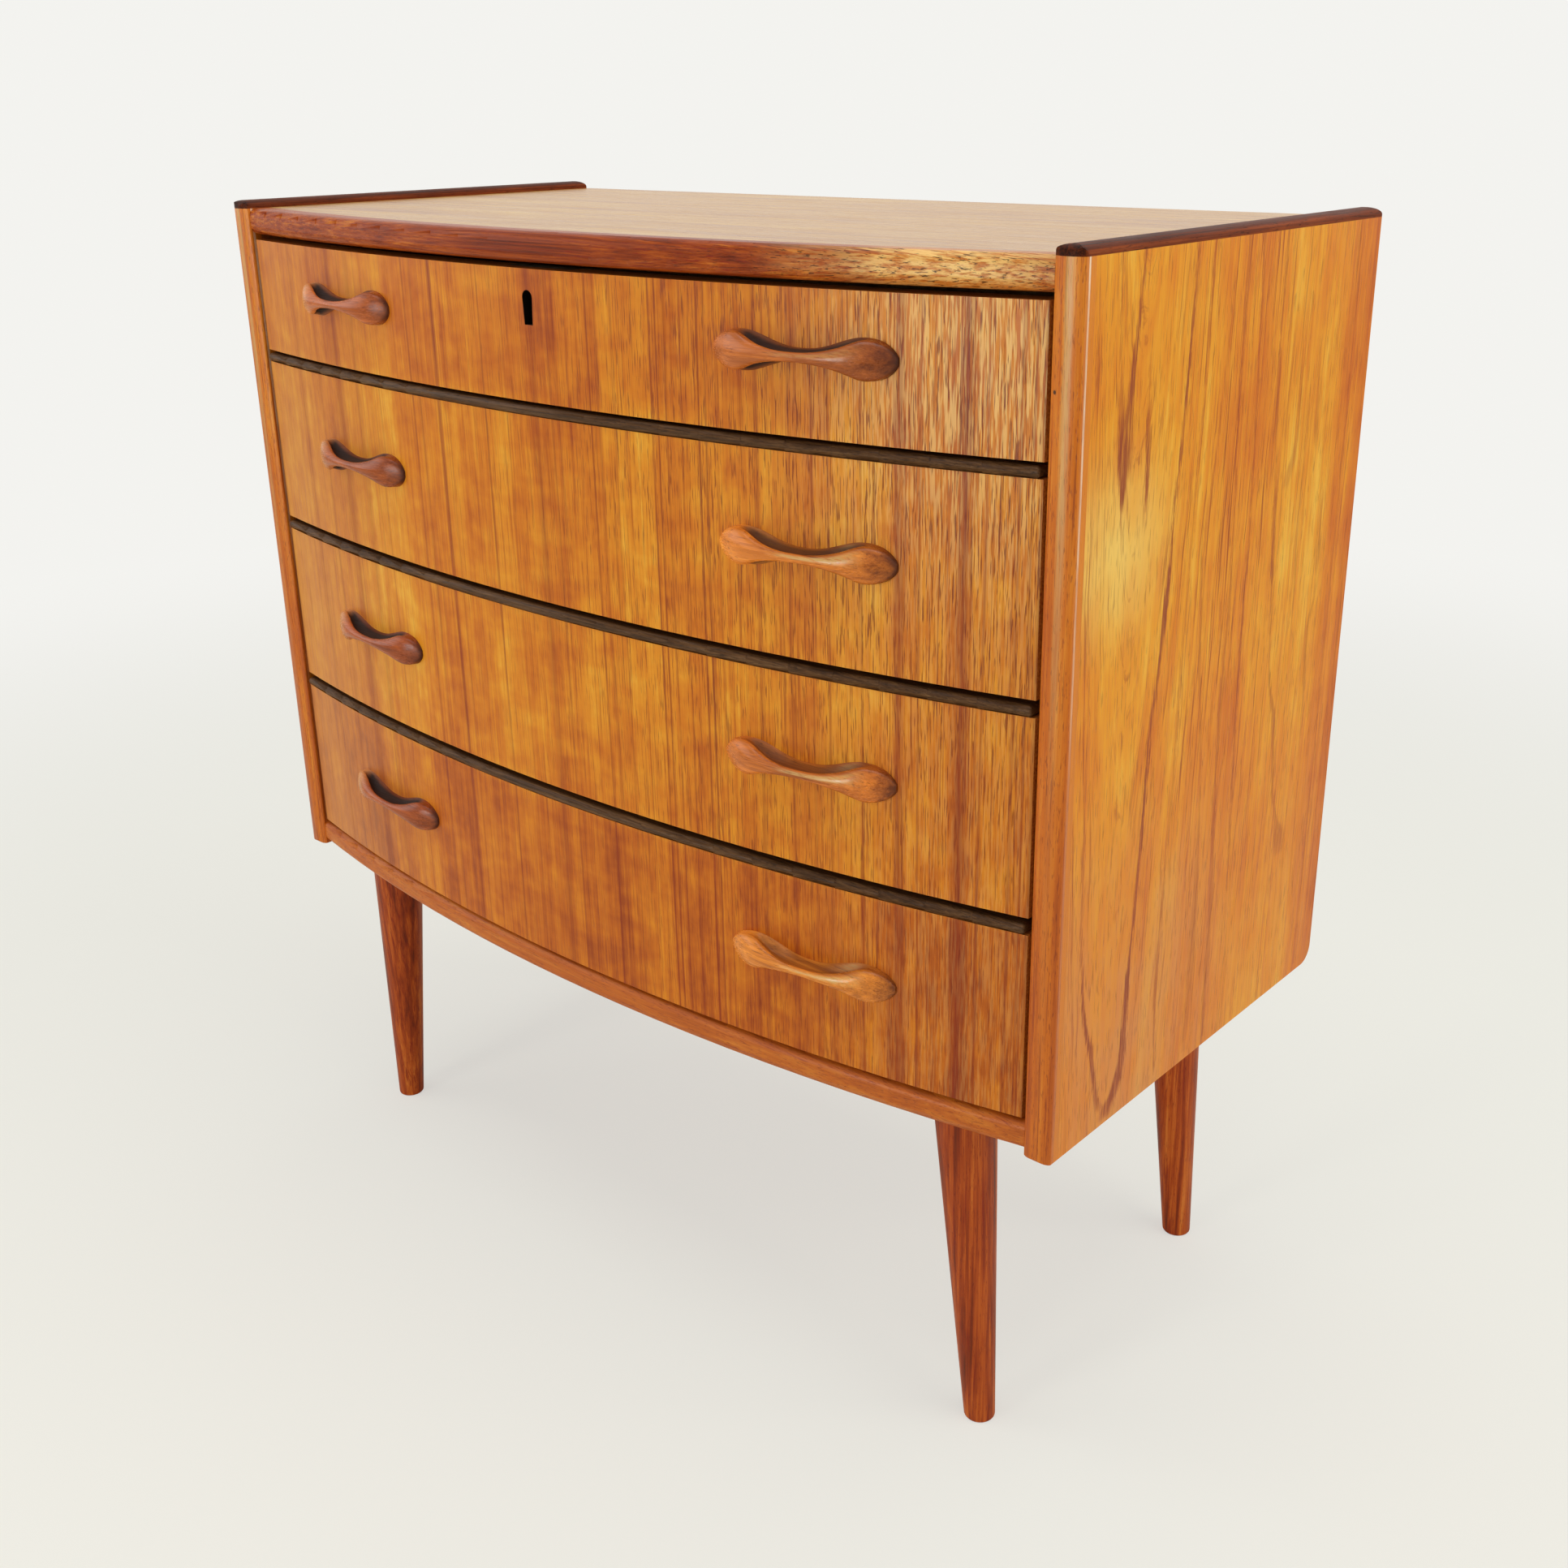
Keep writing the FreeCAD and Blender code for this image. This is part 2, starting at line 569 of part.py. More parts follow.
def make_strip(nodes, name, high):
    """The dark bead on the top edge of a lower drawer's front."""
    half = FRONT_HALF - STRIP_END_SHORT
    z_high = high + STRIP_HEIGHT
    bead = FRONT_BOW.plate(half, STRIP_DEPTH + STRIP_PROUD, high, z_high, -STRIP_PROUD)
    ends = [
        e
        for e in bead.Edges
        if abs(e.Vertexes[0].Z - e.Vertexes[-1].Z) > STRIP_HEIGHT / 2
        and e.Vertexes[0].Y < FRONT_BOW.y_at(half)
    ]
    bead = bead.makeFillet(STRIP_END_ROUND, ends)
    front_y = FRONT_BOW.y_at(0, -STRIP_PROUD)
    nodes[name + "_strip"] = rounded_front(bead, front_y, STRIP_EDGE_ROUND, high, z_high)


def make_runners(nodes, number, low, high):
    """The right and left battens that carry one drawer, screwed to the sides of the case."""
    level = runner_level(low, high)
    tip = FRONT_HALF - RUNNER_BITE
    y_front = FRONT_BOW.y_at(FRONT_HALF, FRONT_THICKNESS) + RUNNER_STOP_CLEARANCE
    y_back = CASE_DEPTH - BACK_THICKNESS - RUNNER_BACK_GAP
    half = RUNNER_HEIGHT / 2
    batten = box(tip, INNER_HALF, y_front, y_back, level - half, level + half)
    nose = [e for e in batten.Edges if all(abs(v.X - tip) + abs(v.Y - y_front) < half for v in e.Vertexes)]
    batten = batten.makeFillet(RUNNER_NOSE_ROUND, nose)
    places = [V(tip, y, level) for y in (y_front + RUNNER_SCREW_INSET, y_back - RUNNER_SCREW_INSET)]
    pieces = [batten, nodes["side_panel_right"]]
    screws, (batten, side) = driven(pieces, places, V(1, 0, 0), RUNNER_SCREW_LENGTH)
    nodes["side_panel_right"] = side
    nodes["side_panel_left"] = mirror_x(side)
    nodes["runners_" + str(number)] = group([mirror_x(batten), batten])
    return screws + [mirror_x(s) for s in screws]


def handle_section(share, place, frame):
    """One cross-section of a handle at a share of its half length from the middle.

    Seen from its end it has a flat back inside the drawer front, a hollow scoop above and below,
    and a domed front between two crests."""
    root, neck, crest, crest_reach, ridge = share
    half = HANDLE_HEIGHT / 2
    along, out, origin = frame
    offset = place * HANDLE_LENGTH / 2
    centre = origin + along * offset
    sink = FRONT_BOW.radius - math.sqrt(FRONT_BOW.radius ** 2 - offset ** 2)

    def at(reach_out, rise):
        return centre + out * (reach_out - sink) + V(0, 0, rise)

    crest_out = crest_reach * HANDLE_REACH
    front_span = (ridge - crest_reach) * HANDLE_REACH
    scoop = [
        at(-HANDLE_ROOT_OVERRUN, root * half),
        at(0, root * half),
        at(crest_out * NECK_PLACE_SHARE, neck * half),
        at(crest_out, crest * half),
    ]
    nose = [scoop[-1]]
    for part in NOSE_REACH_SHARES:
        nose.append(at(crest_out + part * front_span, crest * half * math.sqrt(1 - part ** 2)))
    tip = at(crest_out + front_span, 0)
    lower_nose = [V(p.x, p.y, 2 * origin.z - p.z) for p in reversed(nose)]
    lower_scoop = [V(p.x, p.y, 2 * origin.z - p.z) for p in reversed(scoop)]
    edges = [
        Part.makeLine(lower_scoop[-1], scoop[0]),
        curve_through(scoop),
        curve_through(nose + [tip] + lower_nose),
        curve_through(lower_scoop),
    ]
    return Part.Wire(edges)


def curve_through(points):
    curve = Part.BSplineCurve()
    curve.interpolate(points)
    return curve.toShape()


def handle_frame(level):
    """Directions along and out of the drawer's face at a handle's middle, and that middle."""
    lean = math.asin(HANDLE_OFFSET / FRONT_BOW.radius)
    along = V(math.cos(lean), math.sin(lean), 0)
    out = V(math.sin(lean), -math.cos(lean), 0)
    return along, out, V(HANDLE_OFFSET, FRONT_BOW.y_at(HANDLE_OFFSET), level)


def make_handle(low, high, level):
    """The right handle: a loft through its sections, with its back on the curved front."""
    frame = handle_frame(level)
    shares = list(
        zip(
            ROOT_OUTLINE_SHARES,
            NECK_OUTLINE_SHARES,
            CREST_OUTLINE_SHARES,
            CREST_REACH_SHARES,
            RIDGE_REACH_SHARES,
        )
    )
    outward = [handle_section(s, p, frame) for s, p in zip(shares, HANDLE_STATION_SHARES)]
    inward = [handle_section(s, -p, frame) for s, p in zip(shares[1:], HANDLE_STATION_SHARES[1:])]
    body = Part.makeLoft(list(reversed(inward)) + outward, True, False, False, LOFT_DEGREE)
    return body.cut(FRONT_BOW.column(low, high))


def handle_level(index, low, high):
    """The top drawer's handles stand a little above its middle, the others at the middle of
    front and strip together."""
    if index == 0:
        return (low + high) / 2 + HANDLE_RAISE_ON_TOP_DRAWER
    return (low + high + STRIP_HEIGHT) / 2


def make_handles(nodes, name, index, low, high):
    """Both handles of a drawer, each held by two screws from inside the drawer."""
    level = handle_level(index, low, high)
    handle = make_handle(low, high, level)
    along, out, origin = handle_frame(level)
    length = FRONT_THICKNESS + HANDLE_SCREW_BITE
    starts = [
        origin - out * FRONT_THICKNESS + along * (side * HANDLE_SCREW_SPREAD / 2) for side in (-1, 1)
    ]
    sink = FRONT_BOW.radius - math.sqrt(FRONT_BOW.radius ** 2 - (HANDLE_SCREW_SPREAD / 2) ** 2)
    starts = [start - out * sink for start in starts]
    front = nodes[name + "_front"]
    screws, (front, handle) = driven([front, handle], starts, out, length)
    left_holes = group([mirror_x(screw(s, out, length, SCREW_FIT)) for s in starts])
    nodes[name + "_front"] = front.cut(left_holes)
    nodes[name + "_handle_right"] = handle
    nodes[name + "_handle_left"] = mirror_x(handle)
    nodes[name + "_handle_screws"] = group([mirror_x(s) for s in screws] + screws)


def lock_places():
    """Where the lock sits: the plane of its cover, its front, and its top edge."""
    cover = FRONT_BOW.y_at(LOCK_WIDTH / 2 + LOCK_FLANGE, FRONT_THICKNESS)
    return cover, cover - LOCK_INSET, TOP_FRONT_HIGH


def lock_mortise():
    """The pocket in the underside of the top that the bolt rises into."""
    half = BOLT_WIDTH / 2 + MORTISE_MARGIN
    y_low, y_high = bolt_depths()
    return box(
        -half, half, y_low - MORTISE_MARGIN, y_high + MORTISE_MARGIN, TOP_LOW, TOP_LOW + MORTISE_DEPTH
    )


def bolt_depths():
    _, front, _ = lock_places()
    y_low = front + LOCK_WALL + BOLT_FIT
    return y_low, y_low + BOLT_THICKNESS


def keyhole(y_low, y_high, top):
    """A slot with a round top and a squared, slightly narrower foot."""
    radius = KEYHOLE_WIDTH / 2
    foot = KEYHOLE_FOOT_WIDTH / 2
    round_z = top - radius
    low_z = top - KEYHOLE_HEIGHT
    bit = Part.makeCylinder(radius, y_high - y_low, V(0, y_low, round_z), V(0, 1, 0))
    points = [
        V(-radius, y_low, round_z),
        V(radius, y_low, round_z),
        V(foot, y_low, low_z),
        V(-foot, y_low, low_z),
    ]
    return joined([bit, prism(points, V(0, y_high - y_low, 0))])


def make_lock(nodes):
    """A cut lock let into the back of the top drawer's front, with its bolt at rest inside."""
    cover_y, front_y, top = lock_places()
    half = LOCK_WIDTH / 2
    low = top - LOCK_HEIGHT
    y_back = front_y + LOCK_DEPTH
    flange = half + LOCK_FLANGE
    shell = box(-half, half, front_y, y_back, low, top)
    wall = LOCK_WALL
    hollow = box(-half + wall, half - wall, front_y + wall, y_back - wall, low + wall, top - wall)
    y_low, y_high = bolt_depths()
    bolt_half = BOLT_WIDTH / 2
    fit = BOLT_FIT
    mouth = box(-bolt_half - fit, bolt_half + fit, y_low - fit, y_high + fit, top - 2 * wall, top)
    key_top = top - KEYHOLE_DROP
    case_keyhole = keyhole(front_y - wall, front_y + 2 * wall, key_top)
    pin_z = key_top - KEYHOLE_WIDTH / 2
    pin = Part.makeCylinder(LOCK_PIN_RADIUS, LOCK_DEPTH - wall, V(0, front_y, pin_z), V(0, 1, 0))
    ears = [
        box(side_low, side_high, cover_y, y_back, low, top)
        for side_low, side_high in ((-flange, -half), (half, flange))
    ]
    case = joined([shell.cut(hollow).cut(mouth).cut(case_keyhole), pin] + ears)
    snug = LOCK_FIT
    seat = joined(
        [
            box(-across - snug, across + snug, y - snug, y_back, low - snug, top + snug)
            for across, y in ((half, front_y), (flange, cover_y))
        ]
    )
    front = nodes["drawer_1_front"].cut(seat)
    y_face = FRONT_BOW.y_at(0)
    front = front.cut(keyhole(y_face - CUT_OVERRUN, front_y + wall, key_top))
    ear_x = half + LOCK_FLANGE / 2
    places = [
        V(side * ear_x, y_back, z) for side in (-1, 1) for z in (low + LOCK_FLANGE, top - LOCK_FLANGE)
    ]
    screws, (case, front) = driven([case, front], places, V(0, -1, 0), LOCK_SCREW_LENGTH)
    nodes["lock_case"] = case
    nodes["drawer_1_front"] = front
    nodes["lock_screws"] = group(screws)
    nodes["lock_bolt"] = make_bolt(y_low, y_high, top, pin_z)


def make_bolt(y_low, y_high, top, pin_z):
    """A thick head behind the mouth and a thin tail plate with a window for pin and key."""
    half = BOLT_WIDTH / 2
    head = box(-half, half, y_low, y_high, top - BOLT_HEAD_HEIGHT, top)
    tail_low = top - BOLT_TAIL_HEIGHT
    tail_front = y_high - BOLT_TAIL_THICKNESS
    plate = box(-half, half, tail_front, y_high, tail_low, top - BOLT_HEAD_HEIGHT)
    window_half = BOLT_WINDOW_WIDTH / 2
    window_top = pin_z + LOCK_PIN_RADIUS + BOLT_FIT
    window = box(
        -window_half,
        window_half,
        tail_front - BOLT_THICKNESS,
        y_high + BOLT_FIT,
        window_top - BOLT_WINDOW_HEIGHT,
        window_top,
    )
    return joined([head, plate]).cut(window)


def make_drawers(nodes):
    screws = []
    for index, (low, high) in enumerate(drawer_levels()):
        name = "drawer_" + str(index + 1)
        make_drawer_box(nodes, name, low, high)
        make_handles(nodes, name, index, low, high)
        if index > 0:
            make_strip(nodes, name, high)
        screws += make_runners(nodes, index + 1, low, high)
    nodes["runner_screws"] = group(screws)


def make_nodes():
    """Every piece of the chest, by name, with the origin at the middle of its footprint."""
    nodes = {}
    make_sides(nodes)
    make_caps(nodes)
    make_top(nodes)
    make_bottom(nodes)
    make_back(nodes)
    make_legs(nodes)
    make_drawers(nodes)
    make_lock(nodes)
    shift = V(0, -middle_depth(nodes), 0)
    for shape in nodes.values():
        shape.translate(shift)
    return nodes


def middle_depth(nodes):
    """Half way between the handles' foremost point and the back of the case."""
    handle = nodes["drawer_4_handle_right"].optimalBoundingBox(False, False)
    return (handle.YMin + CASE_DEPTH) / 2


def main():
    os.makedirs("parts", exist_ok=True)
    for name, shape in make_nodes().items():
        shape.exportStep("parts/" + name + ".step")


main()
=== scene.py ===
import math
from dataclasses import dataclass, replace
from typing import NamedTuple

import bpy
from mathutils import Matrix, Vector

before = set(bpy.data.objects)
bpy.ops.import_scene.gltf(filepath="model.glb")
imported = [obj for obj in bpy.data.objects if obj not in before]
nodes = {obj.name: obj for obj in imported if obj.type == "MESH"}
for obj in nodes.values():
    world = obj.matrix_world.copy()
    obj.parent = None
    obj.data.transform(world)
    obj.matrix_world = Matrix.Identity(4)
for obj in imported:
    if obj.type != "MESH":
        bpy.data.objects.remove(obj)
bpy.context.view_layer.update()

# Tables, grains and passages give places in millimetres
MM = 0.001
PER_METRE = (1 / MM,) * 3
MIDDLE = 0.5
WHITE = (1, 1, 1)


class Passage(NamedTuple):
    """A smooth change from start to end, while a value goes from low to high."""

    low: float
    high: float
    start: float = 0.0
    end: float = 1.0


class Grain(NamedTuple):
    """Noise drawn out along the grain, by the size of its features in millimetres."""

    across: float
    along: float
    detail: float = 2.0
    roughness: float = 0.6
    seed: float = 0.0


class Gloss(NamedTuple):
    """A wood's roughness, coat, strength of relief and specular level."""

    roughness: float
    coat: float
    relief: float
    specular: float


# Camera, in the row frame: place in metres, turns in degrees
CAMERA_PLACE = (0.8243, -0.8644, 0.8150)
CAMERA_YAW = 40.953
CAMERA_PITCH = 20.652
CAMERA_ROLL = -0.6715
CAMERA_LENS = 39.334
CAMERA_NEAR = 0.05
SENSOR_WIDTH = 36.0
CAMERA_SHIFT = (-0.02536, -0.02727)

# Stage: colours in linear light, sizes in metres, and the background's share of the floor by distance
BACKGROUND = (0.90, 0.895, 0.865)
FLOOR_COLOUR = (0.86, 0.86, 0.72)
FLOOR_RADIUS = 9.0
FLOOR_SIDES = 96
FLOOR_FADE = Passage(0.8, 2.3, 0.62, 1.0)
WORLD_STRENGTH = 0.31

# Lamps: name, place, target, size in metres, watts
LAMPS = (
    ("front", (-0.40, -3.0, 0.70), (0, 0, 0.5), (0.75, 0.9), 25),
    ("right", (2.9, 0.6, 1.5), (0, 0, 0.5), (2.7, 2.5), 41),
    ("left", (-2.6, -1.9, 1.5), (0, 0, 0.5), (2.1, 2.2), 20),
    ("overhead", (0.2, 0.0, 3.0), (0, 0, 0), (2.6, 2.6), 39),
)

# Colours on a screen: the level of full light, and the curve's straight foot, offset and power
FULL_LEVEL = 255
FOOT_END = 0.04045
FOOT_SLOPE = 12.92
CURVE_OFFSET = 0.055
CURVE_POWER = 2.4


def linear(level):
    """One channel of a colour, given as 0 to 255 on screen, as linear light."""
    share = level / FULL_LEVEL
    if share <= FOOT_END:
        return share / FOOT_SLOPE
    return ((share + CURVE_OFFSET) / (1 + CURVE_OFFSET)) ** CURVE_POWER


def srgb(*levels):
    return tuple(linear(level) for level in levels)


def tones(*colours):
    return tuple(srgb(*colour) for colour in colours)


# Woods: five colours each, from the darkest grain to the lightest
FRONT_TEAK = tones((156, 68, 11), (188, 95, 14), (208, 119, 20), (222, 142, 29), (233, 169, 52))
BARE_TEAK = tones((140, 76, 30), (164, 95, 38), (184, 114, 48), (202, 134, 60), (216, 156, 82))
SIDE_TEAK = tones((180, 82, 16), (206, 107, 20), (222, 131, 24), (231, 153, 32), (239, 180, 62))
TOP_TEAK = tones((148, 94, 36), (172, 117, 43), (190, 137, 54), (204, 155, 66), (218, 176, 91))
NOSING_TEAK = tones((92, 30, 5), (122, 45, 8), (147, 59, 11), (170, 78, 17), (196, 110, 34))
LIPPING_TEAK = tones((156, 68, 12), (184, 88, 16), (202, 106, 20), (218, 130, 32), (232, 164, 64))
RAIL_TEAK = tones((140, 60, 14), (168, 80, 20), (188, 96, 26), (202, 116, 36), (216, 140, 56))
LEG_TEAK = tones((92, 32, 9), (132, 48, 12), (162, 66, 17), (186, 88, 26), (204, 114, 42))
ROSEWOOD = tones((28, 12, 7), (56, 24, 12), (88, 38, 17), (120, 54, 24), (150, 74, 34))
STRIP_WOOD = tones((36, 21, 11), (60, 38, 20), (84, 56, 32), (108, 76, 46), (138, 102, 66))
BEECH = tones((176, 136, 92), (196, 158, 112), (208, 172, 126), (218, 184, 140), (228, 198, 158))
PLY = tones((150, 104, 62), (170, 122, 76), (184, 136, 88), (196, 150, 102), (208, 166, 120))
INNER_TEAK = tones((132, 72, 34), (152, 86, 42), (168, 100, 50), (182, 114, 60), (196, 132, 76))
# Tints that are laid over the woods
SIDE_TINT = SIDE_TEAK[2]
STREAK = srgb(128, 34, 12)
FLAME = srgb(142, 36, 16)
FLAME_CORE = srgb(146, 64, 30)
PORE = srgb(112, 30, 8)
KHAKI_HIGHLIGHT = srgb(212, 172, 104)
GLINT = srgb(252, 228, 198)
# Dark cracks, and painted shade in the handles' hollows
CRACK_AND_SHADE = srgb(38, 16, 6)
END_DARK_TINT = srgb(96, 42, 16)
DARK_STREAK_AND_SHADE = srgb(16, 9, 6)
PALE_PORE = srgb(140, 96, 60)
BEECH_STREAK = srgb(168, 126, 84)
PLY_STREAK = srgb(128, 84, 48)
GLOW = srgb(243, 203, 104)
REFLECTION_VEIL = srgb(200, 150, 98)
GLARE = srgb(245, 199, 120)
LIT_LOBE = srgb(228, 166, 100)
HANDLE_STREAK_AND_SHADE = srgb(104, 38, 14)
BLUSH = srgb(206, 128, 78)

# Every wood: how its noise sways, how far the fine grain stands out, how deep the relief is in
# metres, how the gloss follows the fine grain, and the axes across and then along each grain
DRIFT = Grain(80, 420, detail=1.0, roughness=0.55, seed=31)
FINE_HEIGHT = 0.35
RELIEF_DEPTH = 0.0002
FINE_SPAN = (0.3, 0.7)
SMOOTHER = 0.05
ROUGHER = 0.08
COAT_ROUGHNESS = 0.28
GRAIN_ORDER = {"x": (1, 2, 0), "y": (0, 2, 1), "z": (0, 1, 2)}
STREAKS_PER_NODE = 3

# Plain woods: grains by their share of the look's own size, which its length draws out, then the
# cloud and pores that all of them share
BROAD_GRAIN = Grain(1.0, 380, seed=1)
LINE_GRAIN = Grain(1.0, 170, detail=3.0, seed=2)
FINE_GRAIN = Grain(1.0, 40, seed=3)
HAIR_GRAIN = Grain(0.5, 120, seed=7)
HAIR_SPAN = (0.58, 0.7)
CLOUD = Grain(22, 45, seed=5)
CLOUD_WEIGHT = 0.35
PORE_GRAIN = Grain(0.6, 6.0, detail=1.0, roughness=0.5, seed=8)
PORE_SPAN = Passage(0.60, 0.69)

# Steel: its stains, the sizes of its grind in millimetres, and how deep that is in metres
SCREW_STEEL = (0.42, 0.39, 0.35)
SCREW_ROUGHNESS = 0.35
LOCK_STEEL = (0.20, 0.17, 0.13)
LOCK_ROUGHNESS = 0.45
STAIN_SCALE = 0.12
STAIN_DETAIL = 3.0
STAIN_SPAN = Passage(0.4, 0.65)
STAIN_SHADE = 0.55
GRIND_SIZES = (5, 5, 0.25)
GRIND_STRENGTH = 0.15
GRIND_DEPTH = 0.0001
GRIND_SMOOTHER = 0.05
GRIND_ROUGHER = 0.1

# Fronts: dark lines of the veneer, which run on through all four drawers: place, half width in
# millimetres from the middle, and strength
FRONT_STREAKS = (
    (-292, 5.0, 0.25), (-260, 4.0, 0.25), (-230, 9.0, 0.4), (-203, 5.0, 0.25), (-131, 1.6, 0.5),
    (-122, 2.2, 0.4), (-99.5, 2.8, 0.75), (-90, 1.4, 0.3), (-49.5, 1.3, 0.6), (-27, 1.2, 0.25),
    (1, 4.5, 0.45), (16, 1.6, 0.5), (51, 1.2, 0.7), (58, 2.0, 0.3), (71, 1.2, 0.4), (101, 1.1, 0.8),
    (105.5, 1.0, 0.7), (112, 1.2, 0.5), (123, 1.0, 0.4), (136, 1.3, 0.75), (141, 1.2, 0.7),
    (149, 1.0, 0.35), (176, 2.4, 0.4), (198, 1.5, 0.4), (213, 1.1, 0.4), (224, 1.3, 0.5),
    (245, 1.4, 0.4), (268, 4.5, 0.55), (280, 1.2, 0.5), (306, 5.5, 0.7), (318, 1.4, 0.5),
    (336, 1.6, 0.5), (343, 1.2, 0.5),
)
# Fronts: tone of the broad bands by place, and of the drawers by height
FRONT_BANDS = (
    (-352, 0.50), (-310, 0.56), (-275, 0.50), (-232, 0.38), (-212, 0.66), (-165, 0.66), (-140, 0.46),
    (-101, 0.38), (-86, 0.60), (-52, 0.52), (-25, 0.58), (2, 0.42), (24, 0.58), (56, 0.46), (88, 0.60),
    (120, 0.46), (150, 0.56), (190, 0.50), (222, 0.62), (252, 0.58), (268, 0.42), (286, 0.57),
    (306, 0.35), (324, 0.52), (352, 0.46),
)
FRONT_LEVELS = (
    (236, 0.26), (372, 0.28), (377, 0.52), (500, 0.58), (560, 0.54), (640, 0.52), (648, 0.40),
    (742, 0.41),
)
# Fronts: the grains, and the weights of bands, levels, broad grain, lines, fine grain, ripple and cloud
FRONT_BROAD = Grain(34, 600, seed=1)
FRONT_LINES = Grain(4.5, 260, detail=3.0, seed=2)
FRONT_FINE = Grain(1.5, 55, seed=3)
FRONT_CLOUD = Grain(24, 30, seed=5)
RIPPLE_SIZES = (45, 1, 11)
FRONT_WEIGHTS = (0.9, 0.9, 0.7, 0.65, 0.45, 0.42, 0.72)
FRONT_SWAY = 2.0
FRONT_GLOSS = Gloss(0.36, 0.0, 0.22, 0.2)
# Fronts: a painted reflection, a pale veil over the left end, and a painted highlight in lines high at the
# right end
REFLECTION_ACROSS = Passage(-352.0, -120.0, 0.33, 0.0)
REFLECTION_UP = Passage(560.0, 690.0, 1.0, 0.5)
SHINE_ACROSS = Passage(170.0, 310.0)
SHINE_UP = Passage(520.0, 700.0, 0.2, 1.0)
SHINE_GRAIN = Grain(1.3, 24, seed=9)
SHINE_SPAN = Passage(0.43, 0.58, 0.06, 0.74)
# Fronts: breaks in the dark lines, hair lines, pores, and the darker wood at both ends
BREAK_GRAIN = Grain(2.0, 60, seed=6)
BREAK_SPAN = Passage(0.3, 0.62, 0.5, 1.0)
STREAK_GAIN = 1.15
STREAK_LIMIT = 0.8
FRONT_HAIR = Grain(1.5, 110, seed=7)
FRONT_HAIR_SPAN = Passage(0.56, 0.70)
FRONT_HAIR_ACROSS = Passage(-150.0, 250.0, 0.25, 0.5)
FRONT_PORES = Grain(0.8, 18, roughness=0.55, seed=8)
FRONT_PORE_SPAN = Passage(0.55, 0.64)
FRONT_PORES_ACROSS = Passage(-200.0, 280.0, 0.1, 0.7)
FRONT_PORES_UP = Passage(300.0, 650.0, 0.7, 1.15)
END_DARKER = Passage(345.5, 349.0, 0.0, 0.5)
# Fronts: the bare wood of edges and backs, and painted shade on the walls of the keyhole
EDGE_SIZES = (90, 1.6, 1.6)
EDGE_DETAIL = 3.0
BARE_TONE = 0.36
BARE_WEIGHTS = (1.6, 0.5)
FACING_OUT = Passage(0.45, 0.6)
KEYHOLE_LEVEL = 701.0
KEYHOLE_BESIDE = Passage(8.0, 9.0, 1.0, 0.0)
KEYHOLE_BEYOND = Passage(14.0, 16.0, 1.0, 0.0)

